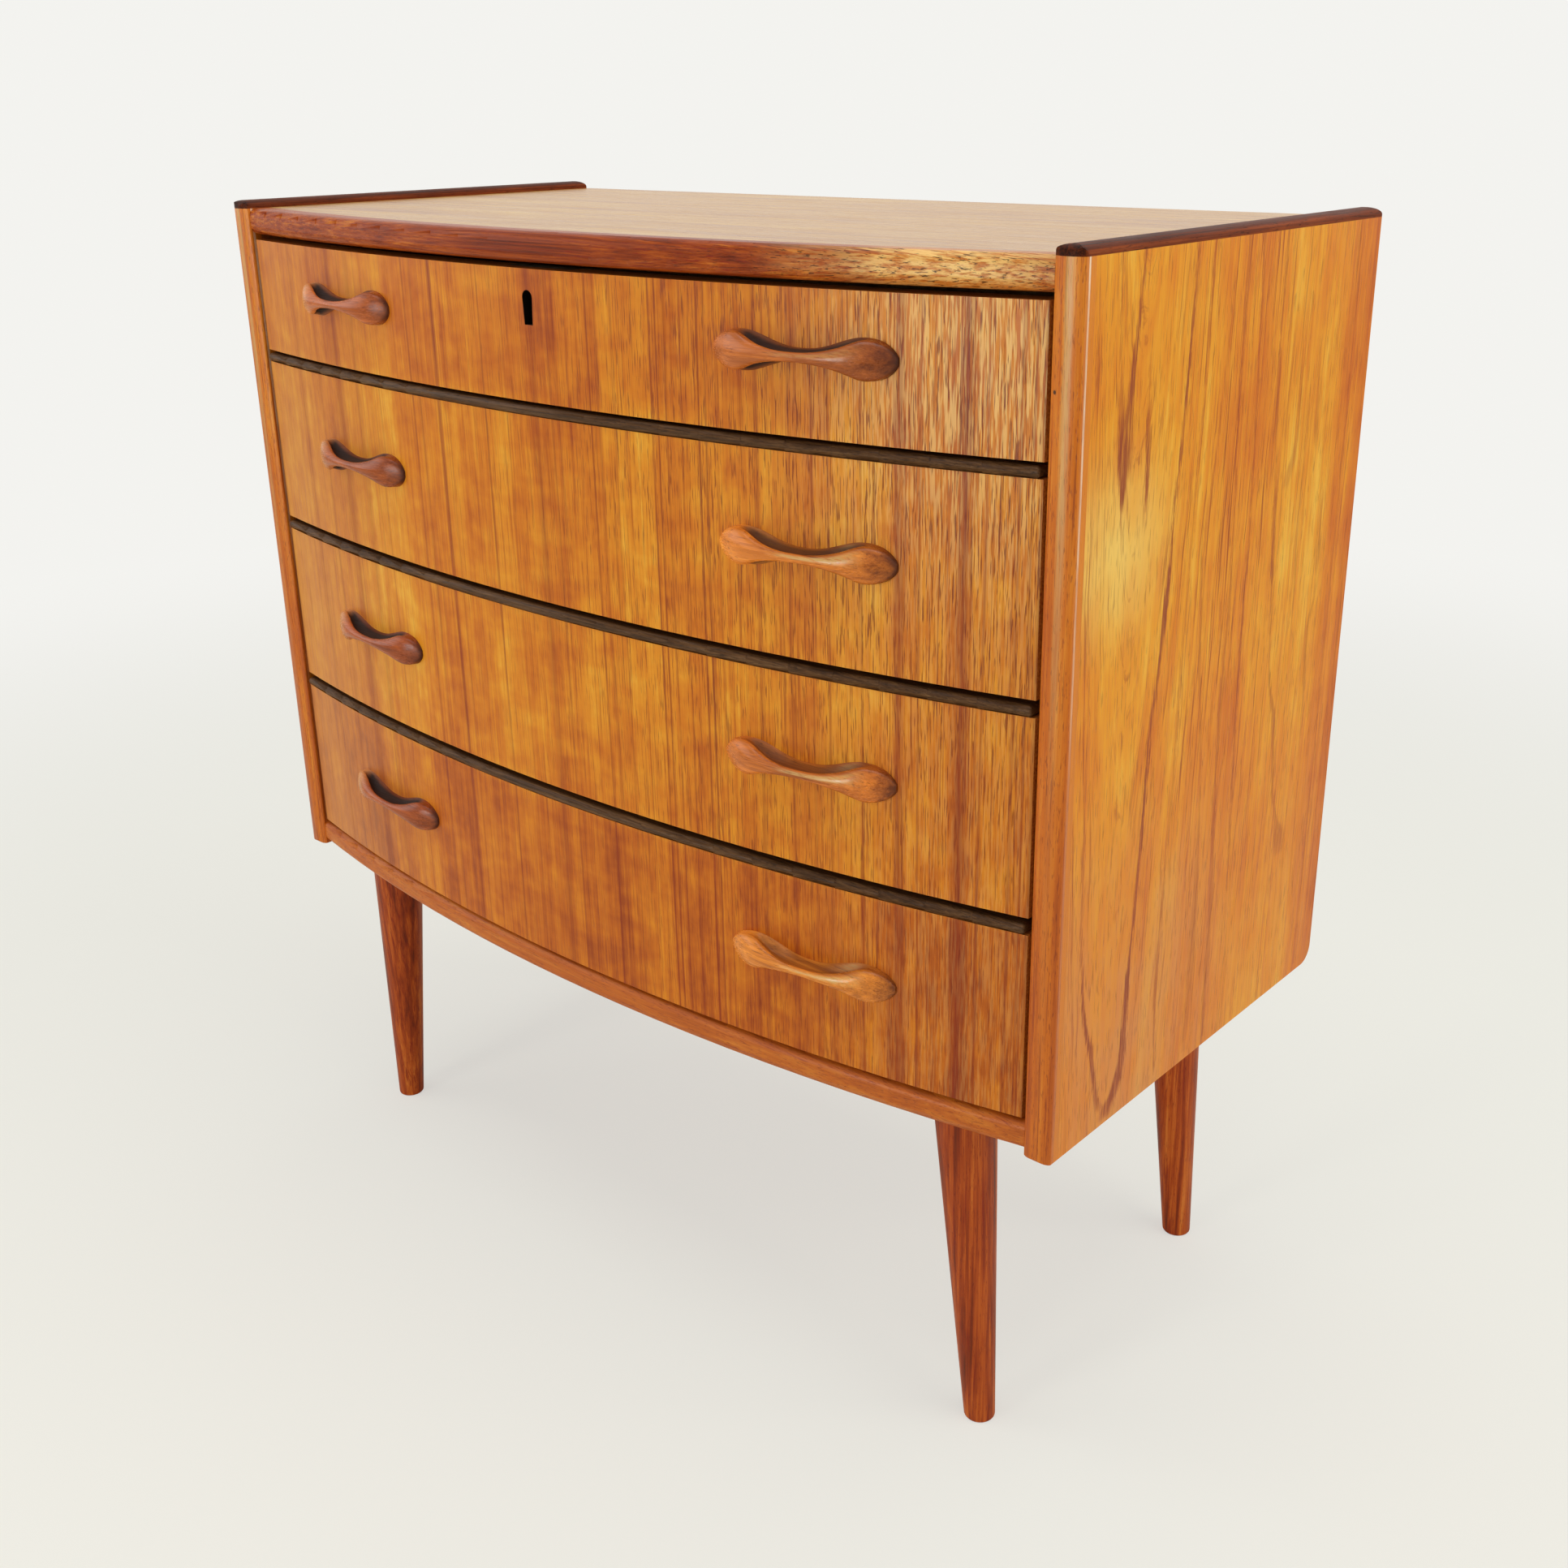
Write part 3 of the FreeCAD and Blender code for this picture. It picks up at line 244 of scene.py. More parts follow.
# Sides: dark lines of the flame, each from its top down by height, place toward the back, half
# width and strength
SIDE_LINES = (
    (
        (742, -39, 1.5, 0.7), (650, -43.5, 1.6, 0.8), (600, -48, 1.4, 0.8), (548, -51, 2.6, 0.95),
        (512, -55, 2.0, 0.8), (480, -60, 2.6, 0.8), (420, -62.5, 1.8, 0.9), (370, -66, 1.8, 0.8),
        (310, -70, 3.0, 1.0), (271, -71.5, 4.2, 1.0), (252, -78, 5.5, 0.9), (242, -87, 8.0, 0.8),
        (236, -88, 6.0, 0.0),
    ),
    (
        (600, -127, 0.8, 0.0), (480, -126, 1.1, 0.35), (400, -124.5, 1.2, 0.5), (350, -121, 1.6, 0.7),
        (315, -115.5, 2.2, 0.85), (294, -108, 2.8, 0.9), (275, -103, 2.8, 0.9), (256, -98, 3.5, 0.8),
        (243, -92, 4.0, 0.0),
    ),
    (
        (742, -114, 1.0, 0.5), (700, -112, 1.2, 0.5), (668, -108, 3.0, 0.6), (645, -105, 6.0, 0.9),
        (624, -103.5, 3.6, 0.9), (610, -103, 1.5, 0.0),
    ),
    (
        (742, -92, 1.6, 0.7), (705, -95.5, 2.0, 0.8), (678, -99, 3.2, 0.85), (645, -101, 6.0, 0.8),
        (625, -101, 3.0, 0.6), (612, -101, 1.0, 0.0),
    ),
    (
        (700, -82, 0.8, 0.0), (668, -81, 1.4, 0.5), (640, -79.5, 2.8, 0.8), (618, -79, 2.6, 0.8),
        (606, -79, 1.5, 0.0),
    ),
    (
        (742, -20.5, 1.3, 0.6), (650, -23.5, 1.0, 0.5), (560, -27, 1.1, 0.45), (500, -29, 1.6, 0.5),
        (420, -30.5, 1.2, 0.4), (350, -34, 1.2, 0.4), (306, -35, 2.2, 0.6), (240, -30.5, 1.2, 0.4),
    ),
    (
        (742, 17, 1.8, 0.5), (650, 17.5, 1.6, 0.6), (590, 21, 1.2, 0.5), (540, 24, 1.6, 0.6),
        (470, 21, 1.8, 0.5), (400, 24, 2.0, 0.5), (330, 29, 3.5, 0.5), (240, 30, 2.0, 0.3),
    ),
    (
        (742, 33, 1.1, 0.6), (690, 36, 1.1, 0.6), (640, 39, 1.2, 0.5), (590, 42, 1.4, 0.7),
        (500, 42, 1.6, 0.7), (440, 44, 1.4, 0.6), (380, 47, 1.6, 0.6), (340, 49, 1.2, 0.4),
        (300, 50, 1.0, 0.0),
    ),
    (
        (742, 62, 1.4, 0.6), (690, 62, 1.2, 0.6), (648, 64.5, 2.2, 0.6), (615, 66, 1.2, 0.0),
    ),
    (
        (625, 68, 0.8, 0.0), (590, 71, 1.6, 0.5), (552, 75, 2.4, 0.7), (515, 79, 1.4, 0.5),
        (469, 85, 1.4, 0.5), (444, 94, 3.0, 0.6), (394, 102, 2.0, 0.5), (366, 111, 3.0, 0.5),
        (352, 118, 8.0, 0.6), (338, 119, 5.0, 0.0),
    ),
    (
        (700, 92, 0.8, 0.0), (670, 92.5, 1.4, 0.5), (635, 94, 2.0, 0.5), (612, 92, 3.2, 0.5),
        (598, 86, 5.0, 0.4), (590, 84, 3.0, 0.0),
    ),
    (
        (690, 116, 0.8, 0.0), (650, 117, 2.0, 0.4), (625, 119, 3.0, 0.4), (608, 120, 1.0, 0.0),
    ),
    (
        (585, 137, 0.8, 0.0), (555, 138, 1.8, 0.6), (515, 139, 1.4, 0.4), (490, 132, 2.6, 0.4),
        (440, 137, 1.6, 0.5), (410, 138, 1.0, 0.0),
    ),
    (
        (742, 6, 0.9, 0.3), (640, -4, 1.2, 0.4), (560, -12, 1.6, 0.4), (420, 4, 1.6, 0.4),
        (300, 8, 5.0, 0.45), (240, 6, 2.0, 0.2),
    ),
    (
        (742, 160, 1.2, 0.35), (500, 161, 1.4, 0.4), (240, 160, 1.2, 0.3),
    ),
)
SIDE_LINE_WIDTH = 10.0
SIDE_LINE_SPREAD = 1.3
LINE_EDGE = Passage(0.3, 1.0, 1.0, 0.0)
LINE_FOOT = 0.001
# Sides: tone by place toward the back and by height, and how busy the hair lines are by place
SIDE_BANDS = (
    (-148, 0.50), (-126, 0.54), (-104, 0.62), (-62, 0.56), (-48, 0.62), (-26, 0.60), (-2, 0.50),
    (18, 0.42), (44, 0.44), (58, 0.54), (74, 0.60), (92, 0.64), (124, 0.64), (142, 0.58), (150, 0.36),
    (186, 0.30),
)
SIDE_LEVELS = (
    (234, 0.48), (300, 0.50), (400, 0.48), (470, 0.52), (520, 0.62), (585, 0.66), (630, 0.58),
    (742, 0.56),
)
SIDE_BUSY = (
    (-150, 0.75), (-110, 0.5), (-66, 0.35), (-40, 0.6), (-10, 0.8), (60, 0.85), (90, 0.45), (150, 0.4),
    (186, 0.5),
)
SIDE_FRONT, SIDE_REAR = SIDE_BANDS[0][0], SIDE_BANDS[-1][0]
SIDE_LOW, SIDE_HIGH = SIDE_LEVELS[0][0], SIDE_LEVELS[-1][0]
# Sides: the parabolas of the flame, with how much they wobble and how much its flanks differ
FLAME_HEART = -88.0
FLAME_CREST = 760.0
FLAME_WIDTH = 2.19
FLAME_WOBBLE = Grain(30, 140, seed=11)
WOBBLE_REACH = 9.0
FLANK_SHIFT = 0.12
# Sides: the grains, and the weights of bands, levels, broad grain, lines, fine grain and cloud
SIDE_BROAD = Grain(16, 700, seed=1)
SIDE_FLAME_LINES = Grain(3.6, 420, detail=3.0, seed=2)
SIDE_HAIR = Grain(1.5, 130, detail=3.0, roughness=0.65, seed=7)
SIDE_HAIR_SPAN = Passage(0.55, 0.68)
SIDE_FINE = Grain(1.4, 50, seed=3)
SIDE_CLOUD = Grain(32, 60, seed=5)
SIDE_WEIGHTS = (1.1, 0.8, 0.5, 0.6, 0.45, 0.75)
SIDE_SWAY = 2.0
SIDE_GLOSS = Gloss(0.38, 0.0, 0.3, 0.2)
# Sides: the bright patch, a painted reflection, by its middle and half sizes, on the right side alone
GLOW_PATCH = (-108.0, 590.0, 78.0, 72.0)
GLOW_SPAN = Passage(0.0, 1.0, 0.84, 0.0)
GLOW_SIDE = Passage(-1.0, 1.0)
GLOW_CLOUD = Passage(0.3, 0.6, 0.6, 1.0)
# Sides: the redder wood low at the front
BLUSH_UP = Passage(300.0, 480.0, 1.0, 0.0)
BLUSH_BACK = Passage(-30.0, 60.0, 1.0, 0.25)
BLUSH_CLOUD = Passage(0.35, 0.65, 0.2, 0.6)
# Sides: hair lines by height, and the ragged strands of the dark lines with their paler cores
BUSY_UP = Passage(240.0, 560.0, 0.5, 0.95)
RAGGED_GRAIN = Grain(1.2, 18, detail=3.0, roughness=0.7, seed=12)
RAGGED_REACH = 9.0
STRAND_GRAIN = Grain(0.8, 22, seed=13)
STRAND_SPAN = Passage(0.34, 0.56, 0.55, 1.0)
LINE_STRENGTH = 0.8
CORE_SPAN = Passage(0.5, 0.95, 0.0, 0.8)
SIDE_PORES = Grain(0.7, 14, detail=1.0, roughness=0.5, seed=8)
SIDE_PORE_SPAN = Passage(0.59, 0.68)
SIDE_POROUS = 0.35
INNER_WEIGHTS = (0.8, 0.6, 0.8)
OUTER_FACE = Passage(-0.6, -0.45)

# Top's front edge: its tone, lighter toward the right end partly as painted highlight, its painted shine
# from left to right, and its cracks
NOSING_FADE = (
    (-352, 0.72), (-200, 0.60), (120, 0.42), (190, 0.52), (240, 0.68), (290, 1.15), (325, 1.0),
    (352, 0.7),
)
NOSING_SHINE = ((-352, 0.0), (170, 0.0), (225, 0.25), (262, 0.85), (308, 1.0), (336, 0.7), (352, 0.5))
EDGE_SHINE_UP = Passage(725.0, 732.0, 0.3, 1.0)
EDGE_SHINE_FACING = Passage(-0.35, 0.0, 1.0, 0.3)
EDGE_SHINE_GRAIN = Grain(1.7, 110, detail=3.0, roughness=0.65, seed=9)
EDGE_SHINE_SPAN = Passage(0.36, 0.6, 0.1, 1.0)
CRACK_GRAIN = Grain(0.8, 85, seed=14)
CRACK_SPAN = Passage(0.59, 0.65)
CRACKS_ACROSS = Passage(60.0, 240.0, 0.3, 0.85)

# Caps: their tone by height, and from front to back
CAP_FADE = ((740, 0.72), (745, 0.66), (747.9, 0.40))
CAP_END_FADE = ((-148.4, 0.15), (-143, 0.5), (185, 0.5))

# Sides' front edges: tone by height, lighter high up partly as painted highlight, the painted highlight by
# height, the band and arris that carry it, and the nail hole's place
LIPPING_SHINE = ((234, 0.05), (440, 0.1), (560, 0.5), (640, 0.85), (742, 0.9))
LIPPING_FADE = ((234, 0.28), (400, 0.36), (540, 0.50), (600, 0.66), (748, 0.62))
FLANK_FACING = Passage(0.55, 0.8)
LIPPING_SHEEN_GRAIN = Grain(1.0, 30, detail=3.0, roughness=0.65, seed=9)
LIPPING_SHEEN_SPAN = Passage(0.35, 0.6, 0.4, 1.0)
BAND_PLACE = 362.0
BAND_SPAN = Passage(1.0, 3.4, 0.75, 0.0)
BEHIND_EDGE = Passage(-142.6, -141.8, 0.0, 0.7)
ARRIS_PLACE = -143.2
ARRIS_SPAN = Passage(0.4, 1.2, 0.9, 0.0)
NAIL_HOLE = (355.0, 677.0)
NAIL_SPAN = Passage(0.7, 1.4, 0.9, 0.0)

# Handles: their place, lean and sizes, and the crest's height over the root, from neck to end
HANDLE_MIDDLE = 208.5
HANDLE_LEAN = math.radians(7.2)
HANDLE_ROOT = -168.3
HANDLE_HALF = 59.5
HANDLE_REACH = 14.0
HANDLE_CREST = (
    (0.0, 0.84), (0.24, 0.80), (0.36, 0.72), (0.48, 0.58), (0.58, 0.46), (0.68, 0.38), (0.78, 0.30),
    (0.87, 0.23), (1.0, 0.06),
)
BOW_RADIUS = 1657.5
# Handles: painted shade in the hollows behind the crest and at the ends to the right, and how dull both
# are
BEHIND_CREST = Passage(-0.2, 0.9)
NEAR_ROOT = Passage(0.02, 0.3, 0.6, 1.0)
BESIDE_NECK = Passage(34.0, 46.0, 1.0, 0.0)
STEEP_END = Passage(0.35, 0.8, 0.0, 0.78)
RIGHT_END = Passage(-0.5, 0.5)
HOLLOW_DULLNESS = 0.55
# Handles: painted shade on the rims, redder, and a painted highlight along the crest
RIM_FACING = Passage(0.5, 0.9, 0.0, 0.5)
RIM_ALONG = Passage(0.0, 20.0)
SHEEN_FROM = Passage(-20.0, 2.0)
SHEEN_TO = Passage(26.0, 48.0, 1.0, 0.0)
SHEEN_FACING_UP = Passage(-0.15, 0.25)
SHEEN_BELOW_TOP = Passage(0.5, 0.8, 1.0, 0.0)
SHEEN_FACING_FRONT = Passage(-0.6, -0.3, 1.0, 0.0)
SHEEN_GRAIN = Grain(1.2, 16, detail=3.0, roughness=0.65, seed=9)
SHEEN_SPAN = Passage(0.36, 0.58, 0.3, 1.0)
# Handles: painted light on the pale outer lobe of those on the left, and the grain's shift from handle to
# handle
LIT_LOBE_ACROSS = Passage(-264.0, -234.0, 0.85, 0.0)
HANDLE_SHIFT = (17, 31, 5)
# Handles: five shades of one tone, with green and blue falling faster than red
SHADE_STEPS = (0.62, 0.84, 1.0, 1.12, 1.26)
GREEN_FALL = 1.3
BLUE_FALL = 1.3
BRIGHTEST = 250
# Handles: how light the wood is along each, lighter toward the left and darker toward the right end, as
# tone and as painted light and shade
LEFT_FADE = ((-268, 1.0), (-240, 0.66), (-200, 0.48), (-152, 0.36))
RIGHT_FADE = ((150, 0.76), (195, 0.64), (225, 0.54), (250, 0.42), (261, 0.30), (268, 0.05))
EVEN_FADE = ((150, 0.66), (200, 0.52), (235, 0.60), (254, 0.50), (262, 0.30), (268, 0.0))


class Handle(NamedTuple):
    """A handle's tone, how dark the painted shade in its hollows is, its fading, and how strong the
    painted highlight on its crest is.
    """

    tone: tuple
    depth: float
    fade: tuple
    sheen: float = 0.0


# Handles: each by its drawer, from the top down, and its hand
HANDLES = {
    (1, "left"): Handle((180, 90, 34), 1.0, LEFT_FADE),
    (1, "right"): Handle((166, 86, 34), 0.98, RIGHT_FADE, 0.3),
    (2, "left"): Handle((160, 76, 26), 1.0, LEFT_FADE),
    (2, "right"): Handle((206, 116, 40), 0.85, RIGHT_FADE, 0.85),
    (3, "left"): Handle((156, 72, 26), 1.0, LEFT_FADE),
    (3, "right"): Handle((200, 110, 40), 0.65, EVEN_FADE, 0.8),
    (4, "left"): Handle((162, 76, 26), 1.0, LEFT_FADE),
    (4, "right"): Handle((214, 126, 44), 0.4, EVEN_FADE, 0.85),
}


class Graph:
    """The node tree of one material, with short ways to add nodes and link them."""

    def __init__(self, tree):
        self.tree = tree
        self.tree.nodes.clear()

    def node(self, kind, inputs=None, **settings):
        made = self.tree.nodes.new("ShaderNode" + kind)
        for key, value in settings.items():
            setattr(made, key, value)
        for key, value in (inputs or {}).items():
            self.feed(made.inputs[key], value)
        return made

    def feed(self, socket, value):
        if isinstance(value, bpy.types.NodeSocket):
            self.tree.links.new(value, socket)
        else:
            socket.default_value = value

    def math(self, operation, *values):
        inputs = dict(enumerate(values))
        return self.node("Math", inputs, operation=operation).outputs[0]

    def product(self, first, *others):
        for other in others:
            first = self.math("MULTIPLY", first, other)
        return first

    def distance(self, value, point):
        """How far a number is from a point, on either side."""
        return self.math("ABSOLUTE", self.math("SUBTRACT", value, point))

    def vector(self, operation, *values):
        inputs = dict(enumerate(values))
        return self.node("VectorMath", inputs, operation=operation).outputs[0]

    def length(self, vector):
        return self.node("VectorMath", {0: vector}, operation="LENGTH").outputs["Value"]

    def join(self, *values):
        return self.node("CombineXYZ", dict(enumerate(values))).outputs[0]

    def split(self, vector):
        return self.node("SeparateXYZ", {0: vector}).outputs

    def place(self):
        """The point's place in millimetres."""
        return self.vector("MULTIPLY", self.node("TexCoord").outputs["Object"], PER_METRE)

    def noise(self, place, sizes, **inputs):
        """Plain noise with features of the given sizes along the three axes."""
        scaled = self.vector("MULTIPLY", place, tuple(1 / size for size in sizes))
        return self.node("TexNoise", {"Vector": scaled, "Scale": 1.0, **inputs}).outputs[0]

    def between(self, value, passage):
        """The number that a passage gives for the value."""
        inputs = {
            "Value": value,
            "From Min": passage.low,
            "From Max": passage.high,
            "To Min": passage.start,
            "To Max": passage.end,
        }
        made = self.node("MapRange", inputs, interpolation_type="SMOOTHSTEP")
        return made.outputs["Result"]

    def share(self, value, low, high):
        """Where the value lies from low to high, from 0 to 1."""
        inputs = {"Value": value, "From Min": low, "From Max": high}
        return self.node("MapRange", inputs).outputs["Result"]

    def total(self, start, parts, weights):
        """The start, and each part's distance from a half times its weight."""
        whole = start
        for part, weight in zip(parts, weights):
            away = self.math("SUBTRACT", part, MIDDLE)
            whole = self.math("MULTIPLY_ADD", away, weight, whole)
        return whole

    def mix(self, factor, first, second):
        made = self.node("Mix", data_type="RGBA", blend_type="MIX")
        factor_in, first_in, second_in = (s for s in made.inputs if s.enabled)
        self.feed(factor_in, factor)
        self.feed(first_in, first)
        self.feed(second_in, second)
        return next(s for s in made.outputs if s.enabled)

    def ramp(self, value, stops):
        """Colours by value; the stops are positions from 0 to 1 with a colour each."""
        made = self.node("ValToRGB", {"Fac": value})
        elements = made.color_ramp.elements
        while len(elements) < len(stops):
            elements.new(1.0)
        for element, (position, colour) in zip(elements, stops):
            element.position = position
            element.color = rgba(colour)
        return made.outputs["Color"]

    def palette(self, value, colours):
        last = len(colours) - 1
        return self.ramp(value, [(i / last, colour) for i, colour in enumerate(colours)])

    def profile(self, value, points):
        """A number that follows the points, of the value and the number there."""
        low, high = points[0][0], points[-1][0]
        stops = [((at - low) / (high - low), (number,) * 3) for at, number in points]
        made = self.ramp(self.share(value, low, high), stops)
        made.node.color_ramp.interpolation = "EASE"
        return made

    def curves(self, share, tables):
        """Three numbers from 0 to 1, each following its table of points over the share."""
        made = self.node("RGBCurve", {"Color": self.join(share, share, share)})
        for curve, table in zip(made.mapping.curves, tables):
            while len(curve.points) < len(table):
                curve.points.new(MIDDLE, MIDDLE)
            for point, place in zip(curve.points, table):
                point.location = place
                point.handle_type = "AUTO_CLAMPED"
        made.mapping.update()
        return self.split(made.outputs[0])

    def surface(self, inputs):
        """The material's surface, from the inputs of its shader."""
        shader = self.node("BsdfPrincipled", inputs)
        self.feed(self.node("OutputMaterial").inputs["Surface"], shader.outputs[0])


def rgba(colour):
    return (*colour, 1.0)


def new_material(name):
    material = bpy.data.materials.new(name)
    material.use_nodes = True
    return material, Graph(material.node_tree)


class Wood:
    """One wood, laid down in layers on places in millimetres whose third part runs along the grain."""

    def __init__(self, name, grain="z", shift=(0, 0, 0), sway=3.0):
        self.material, self.graph = new_material(name)
        g = self.graph
        self.parts = g.split(g.place())
        turned = g.join(*(self.parts[axis] for axis in GRAIN_ORDER[grain]))
        self.place = g.vector("ADD", turned, shift)
        drift = g.math("SUBTRACT", self.noise(DRIFT), MIDDLE)
        offset = g.math("MULTIPLY", drift, 2 * sway)
        self.place = g.vector("ADD", self.place, g.join(offset, offset, 0.0))

    def noise(self, grain):
        g = self.graph
        scale = (1 / grain.across, 1 / grain.across, 1 / grain.along)
        seeds = (grain.seed, 2 * grain.seed, 3 * grain.seed)
        place = g.vector("MULTIPLY_ADD", self.place, scale, seeds)
        inputs = {"Vector": place, "Scale": 1.0, "Detail": grain.detail, "Roughness": grain.roughness}
        return g.node("TexNoise", inputs).outputs[0]

    def noise_between(self, grain, passage):
        return self.graph.between(self.noise(grain), passage)

    def normal(self):
        g = self.graph
        return g.split(g.node("TexCoord").outputs["Normal"])

    def across(self):
        return self.graph.split(self.place)[0]

    def shade(self, colour, mask, tint):
        return self.graph.mix(mask, colour, rgba(tint))

    def streaks(self, lines):
        """Dark lines at chosen places across the grain, three of them to a node."""
        g = self.graph
        across = self.across()
        across = g.join(across, across, across)
        whole = None
        for first in range(0, len(lines), STREAKS_PER_NODE):
            places, halves, strengths = zip(*lines[first:first + STREAKS_PER_NODE])
            away = g.vector("ABSOLUTE", g.vector("SUBTRACT", across, places))
            reach = g.vector("MULTIPLY_ADD", away, tuple(-1 / half for half in halves), (1, 1, 1))
            reach = g.vector("MAXIMUM", reach, (0, 0, 0))
            made = g.node("VectorMath", {0: reach, 1: strengths}, operation="DOT_PRODUCT")
            part = made.outputs["Value"]
            whole = part if whole is None else g.math("ADD", whole, part)
        return whole

    def finish(self, colour, fine, pores, gloss, dull=None):
        """The shader: pores and fine grain as relief, and a gloss that follows the grain."""
        g = self.graph
        height = g.math("MULTIPLY_ADD", fine, FINE_HEIGHT, g.math("MULTIPLY", pores, -1.0))
        bump = g.node("Bump", {"Height": height, "Strength": gloss.relief, "Distance": RELIEF_DEPTH})
        ends = (gloss.roughness - SMOOTHER, gloss.roughness + ROUGHER)
        rough = g.between(fine, Passage(*FINE_SPAN, *ends))
        inputs = {
            "Base Color": colour,
            "Normal": bump.outputs[0],
            "Roughness": rough if dull is None else g.math("ADD", rough, dull),
            "Specular IOR Level": gloss.specular,
            "Coat Weight": gloss.coat,
            "Coat Roughness": COAT_ROUGHNESS,
        }
        g.surface(inputs)
        return self.material


def front_tone(wood, fine):
    """Tone of the fronts: listed bands, then broad, fine and cloudy grain."""
    g = wood.graph
    parts = (
        g.profile(wood.across(), FRONT_BANDS),
        g.profile(wood.parts[2], FRONT_LEVELS),
        wood.noise(FRONT_BROAD),
        wood.noise(FRONT_LINES),
        fine,
        g.noise(wood.place, RIPPLE_SIZES),
        wood.noise(FRONT_CLOUD),
    )
    return g.total(MIDDLE, parts, FRONT_WEIGHTS)


def front_light(wood, colour):
    """A painted reflection, a pale veil toward the fronts' left end, and a painted highlight in lines at
    the right end, high up.
    """
    g = wood.graph
    x, _, z = wood.parts
    # Painted reflection: a pale veil over the left end
    reflection = g.product(g.between(x, REFLECTION_ACROSS), g.between(z, REFLECTION_UP))
    colour = wood.shade(colour, reflection, REFLECTION_VEIL)
    # Painted highlight: pale lines high at the right end
    high_right = g.product(g.between(x, SHINE_ACROSS), g.between(z, SHINE_UP))
    shine = g.product(high_right, wood.noise_between(SHINE_GRAIN, SHINE_SPAN))
    return wood.shade(colour, shine, GLARE)


def front_marks(wood, colour, pores):
    """Dark lines, hair lines, pores and the darker ends of the fronts."""
    g = wood.graph
    x, _, z = wood.parts
    broken = wood.noise_between(BREAK_GRAIN, BREAK_SPAN)
    marks = g.product(wood.streaks(FRONT_STREAKS), broken, STREAK_GAIN)
    colour = wood.shade(colour, g.math("MINIMUM", marks, STREAK_LIMIT), STREAK)
    hair = wood.noise_between(FRONT_HAIR, FRONT_HAIR_SPAN)
    colour = wood.shade(colour, g.product(hair, g.between(x, FRONT_HAIR_ACROSS)), STREAK)
    deep = g.product(g.between(x, FRONT_PORES_ACROSS), g.between(z, FRONT_PORES_UP))
    colour = wood.shade(colour, g.product(pores, deep), PORE)
    return wood.shade(colour, g.between(g.math("ABSOLUTE", x), END_DARKER), END_DARK_TINT)


def bare_front(wood, fine):
    """The colour of the fronts' bare edges and backs, with fine lines along the front."""
    g = wood.graph
    lines = g.noise(g.join(*wood.parts), EDGE_SIZES, Detail=EDGE_DETAIL)
    return g.palette(g.total(BARE_TONE, (lines, fine), BARE_WEIGHTS), BARE_TEAK)


def near_keyhole(wood):
    g = wood.graph
    x, _, z = wood.parts
    beside = g.between(g.math("ABSOLUTE", x), KEYHOLE_BESIDE)
    return g.product(beside, g.between(g.distance(z, KEYHOLE_LEVEL), KEYHOLE_BEYOND))


def front_veneer():
    """Teak veneer of the fronts, its lines upright and running on from drawer to drawer."""
    wood = Wood("teak_front", sway=FRONT_SWAY)
    g = wood.graph
    fine = wood.noise(FRONT_FINE)
    pores = wood.noise_between(FRONT_PORES, FRONT_PORE_SPAN)
    colour = g.palette(front_tone(wood, fine), FRONT_TEAK)
    colour = front_light(wood, colour)
    colour = front_marks(wood, colour, pores)
    veneer = g.between(g.math("MULTIPLY", wood.normal()[1], -1), FACING_OUT)
    colour = g.mix(veneer, bare_front(wood, fine), colour)
    # Painted shade on the keyhole's walls, off the veneer
    hole = g.product(near_keyhole(wood), g.math("SUBTRACT", 1.0, veneer))
    colour = wood.shade(colour, hole, DARK_STREAK_AND_SHADE)
    return wood.finish(colour, fine, pores, FRONT_GLOSS)


def line_tables(points):
    """A line's place, half width and strength from 0 to 1, each by the share of the height."""
    return [
        [(at, (place - SIDE_FRONT) / (SIDE_REAR - SIDE_FRONT)) for at, place, _, _ in points],
        [(at, half / SIDE_LINE_WIDTH) for at, _, half, _ in points],
        [(at, strength) for at, _, _, strength in points],
    ]


def side_line(wood, line, share, ragged):
    """One dark line of the flame: at each height a place, a width and a strength."""
    g = wood.graph
    span = SIDE_HIGH - SIDE_LOW
    points = [((height - SIDE_LOW) / span, *rest) for height, *rest in reversed(line)]
    place, half, strength = g.curves(share, line_tables(points))
    place = g.math("MULTIPLY_ADD", place, SIDE_REAR - SIDE_FRONT, SIDE_FRONT)
    away = g.distance(g.math("ADD", wood.parts[1], ragged), place)
    reach = g.math("DIVIDE", away, g.math("MULTIPLY", half, SIDE_LINE_SPREAD * SIDE_LINE_WIDTH))
    foot = points[0][0]
    inside = g.between(share, Passage(foot - LINE_FOOT, foot))
    return g.product(g.between(reach, LINE_EDGE), strength, inside)


def flame_layers(wood):
    """Broad grain, lines and hair lines that follow the parabolas of the flame."""
    g = wood.graph
    x, y, z = wood.parts
    from_heart = g.math("SUBTRACT", y, FLAME_HEART)
    drop = g.math("SUBTRACT", FLAME_CREST, z)
    square = g.math("MULTIPLY_ADD", drop, FLAME_WIDTH ** 2, g.product(from_heart, from_heart))
    rise = g.math("SQRT", g.math("MAXIMUM", square, 0.0))
    wobble = g.math("SUBTRACT", wood.noise(FLAME_WOBBLE), MIDDLE)
    rise = g.math("MULTIPLY_ADD", wobble, WOBBLE_REACH, rise)
    wood.place = g.join(rise, g.product(from_heart, FLANK_SHIFT), z)
    broad = wood.noise(SIDE_BROAD)
    lines = wood.noise(SIDE_FLAME_LINES)
    hair = wood.noise_between(SIDE_HAIR, SIDE_HAIR_SPAN)
    wood.place = g.join(y, x, z)
    return broad, lines, hair


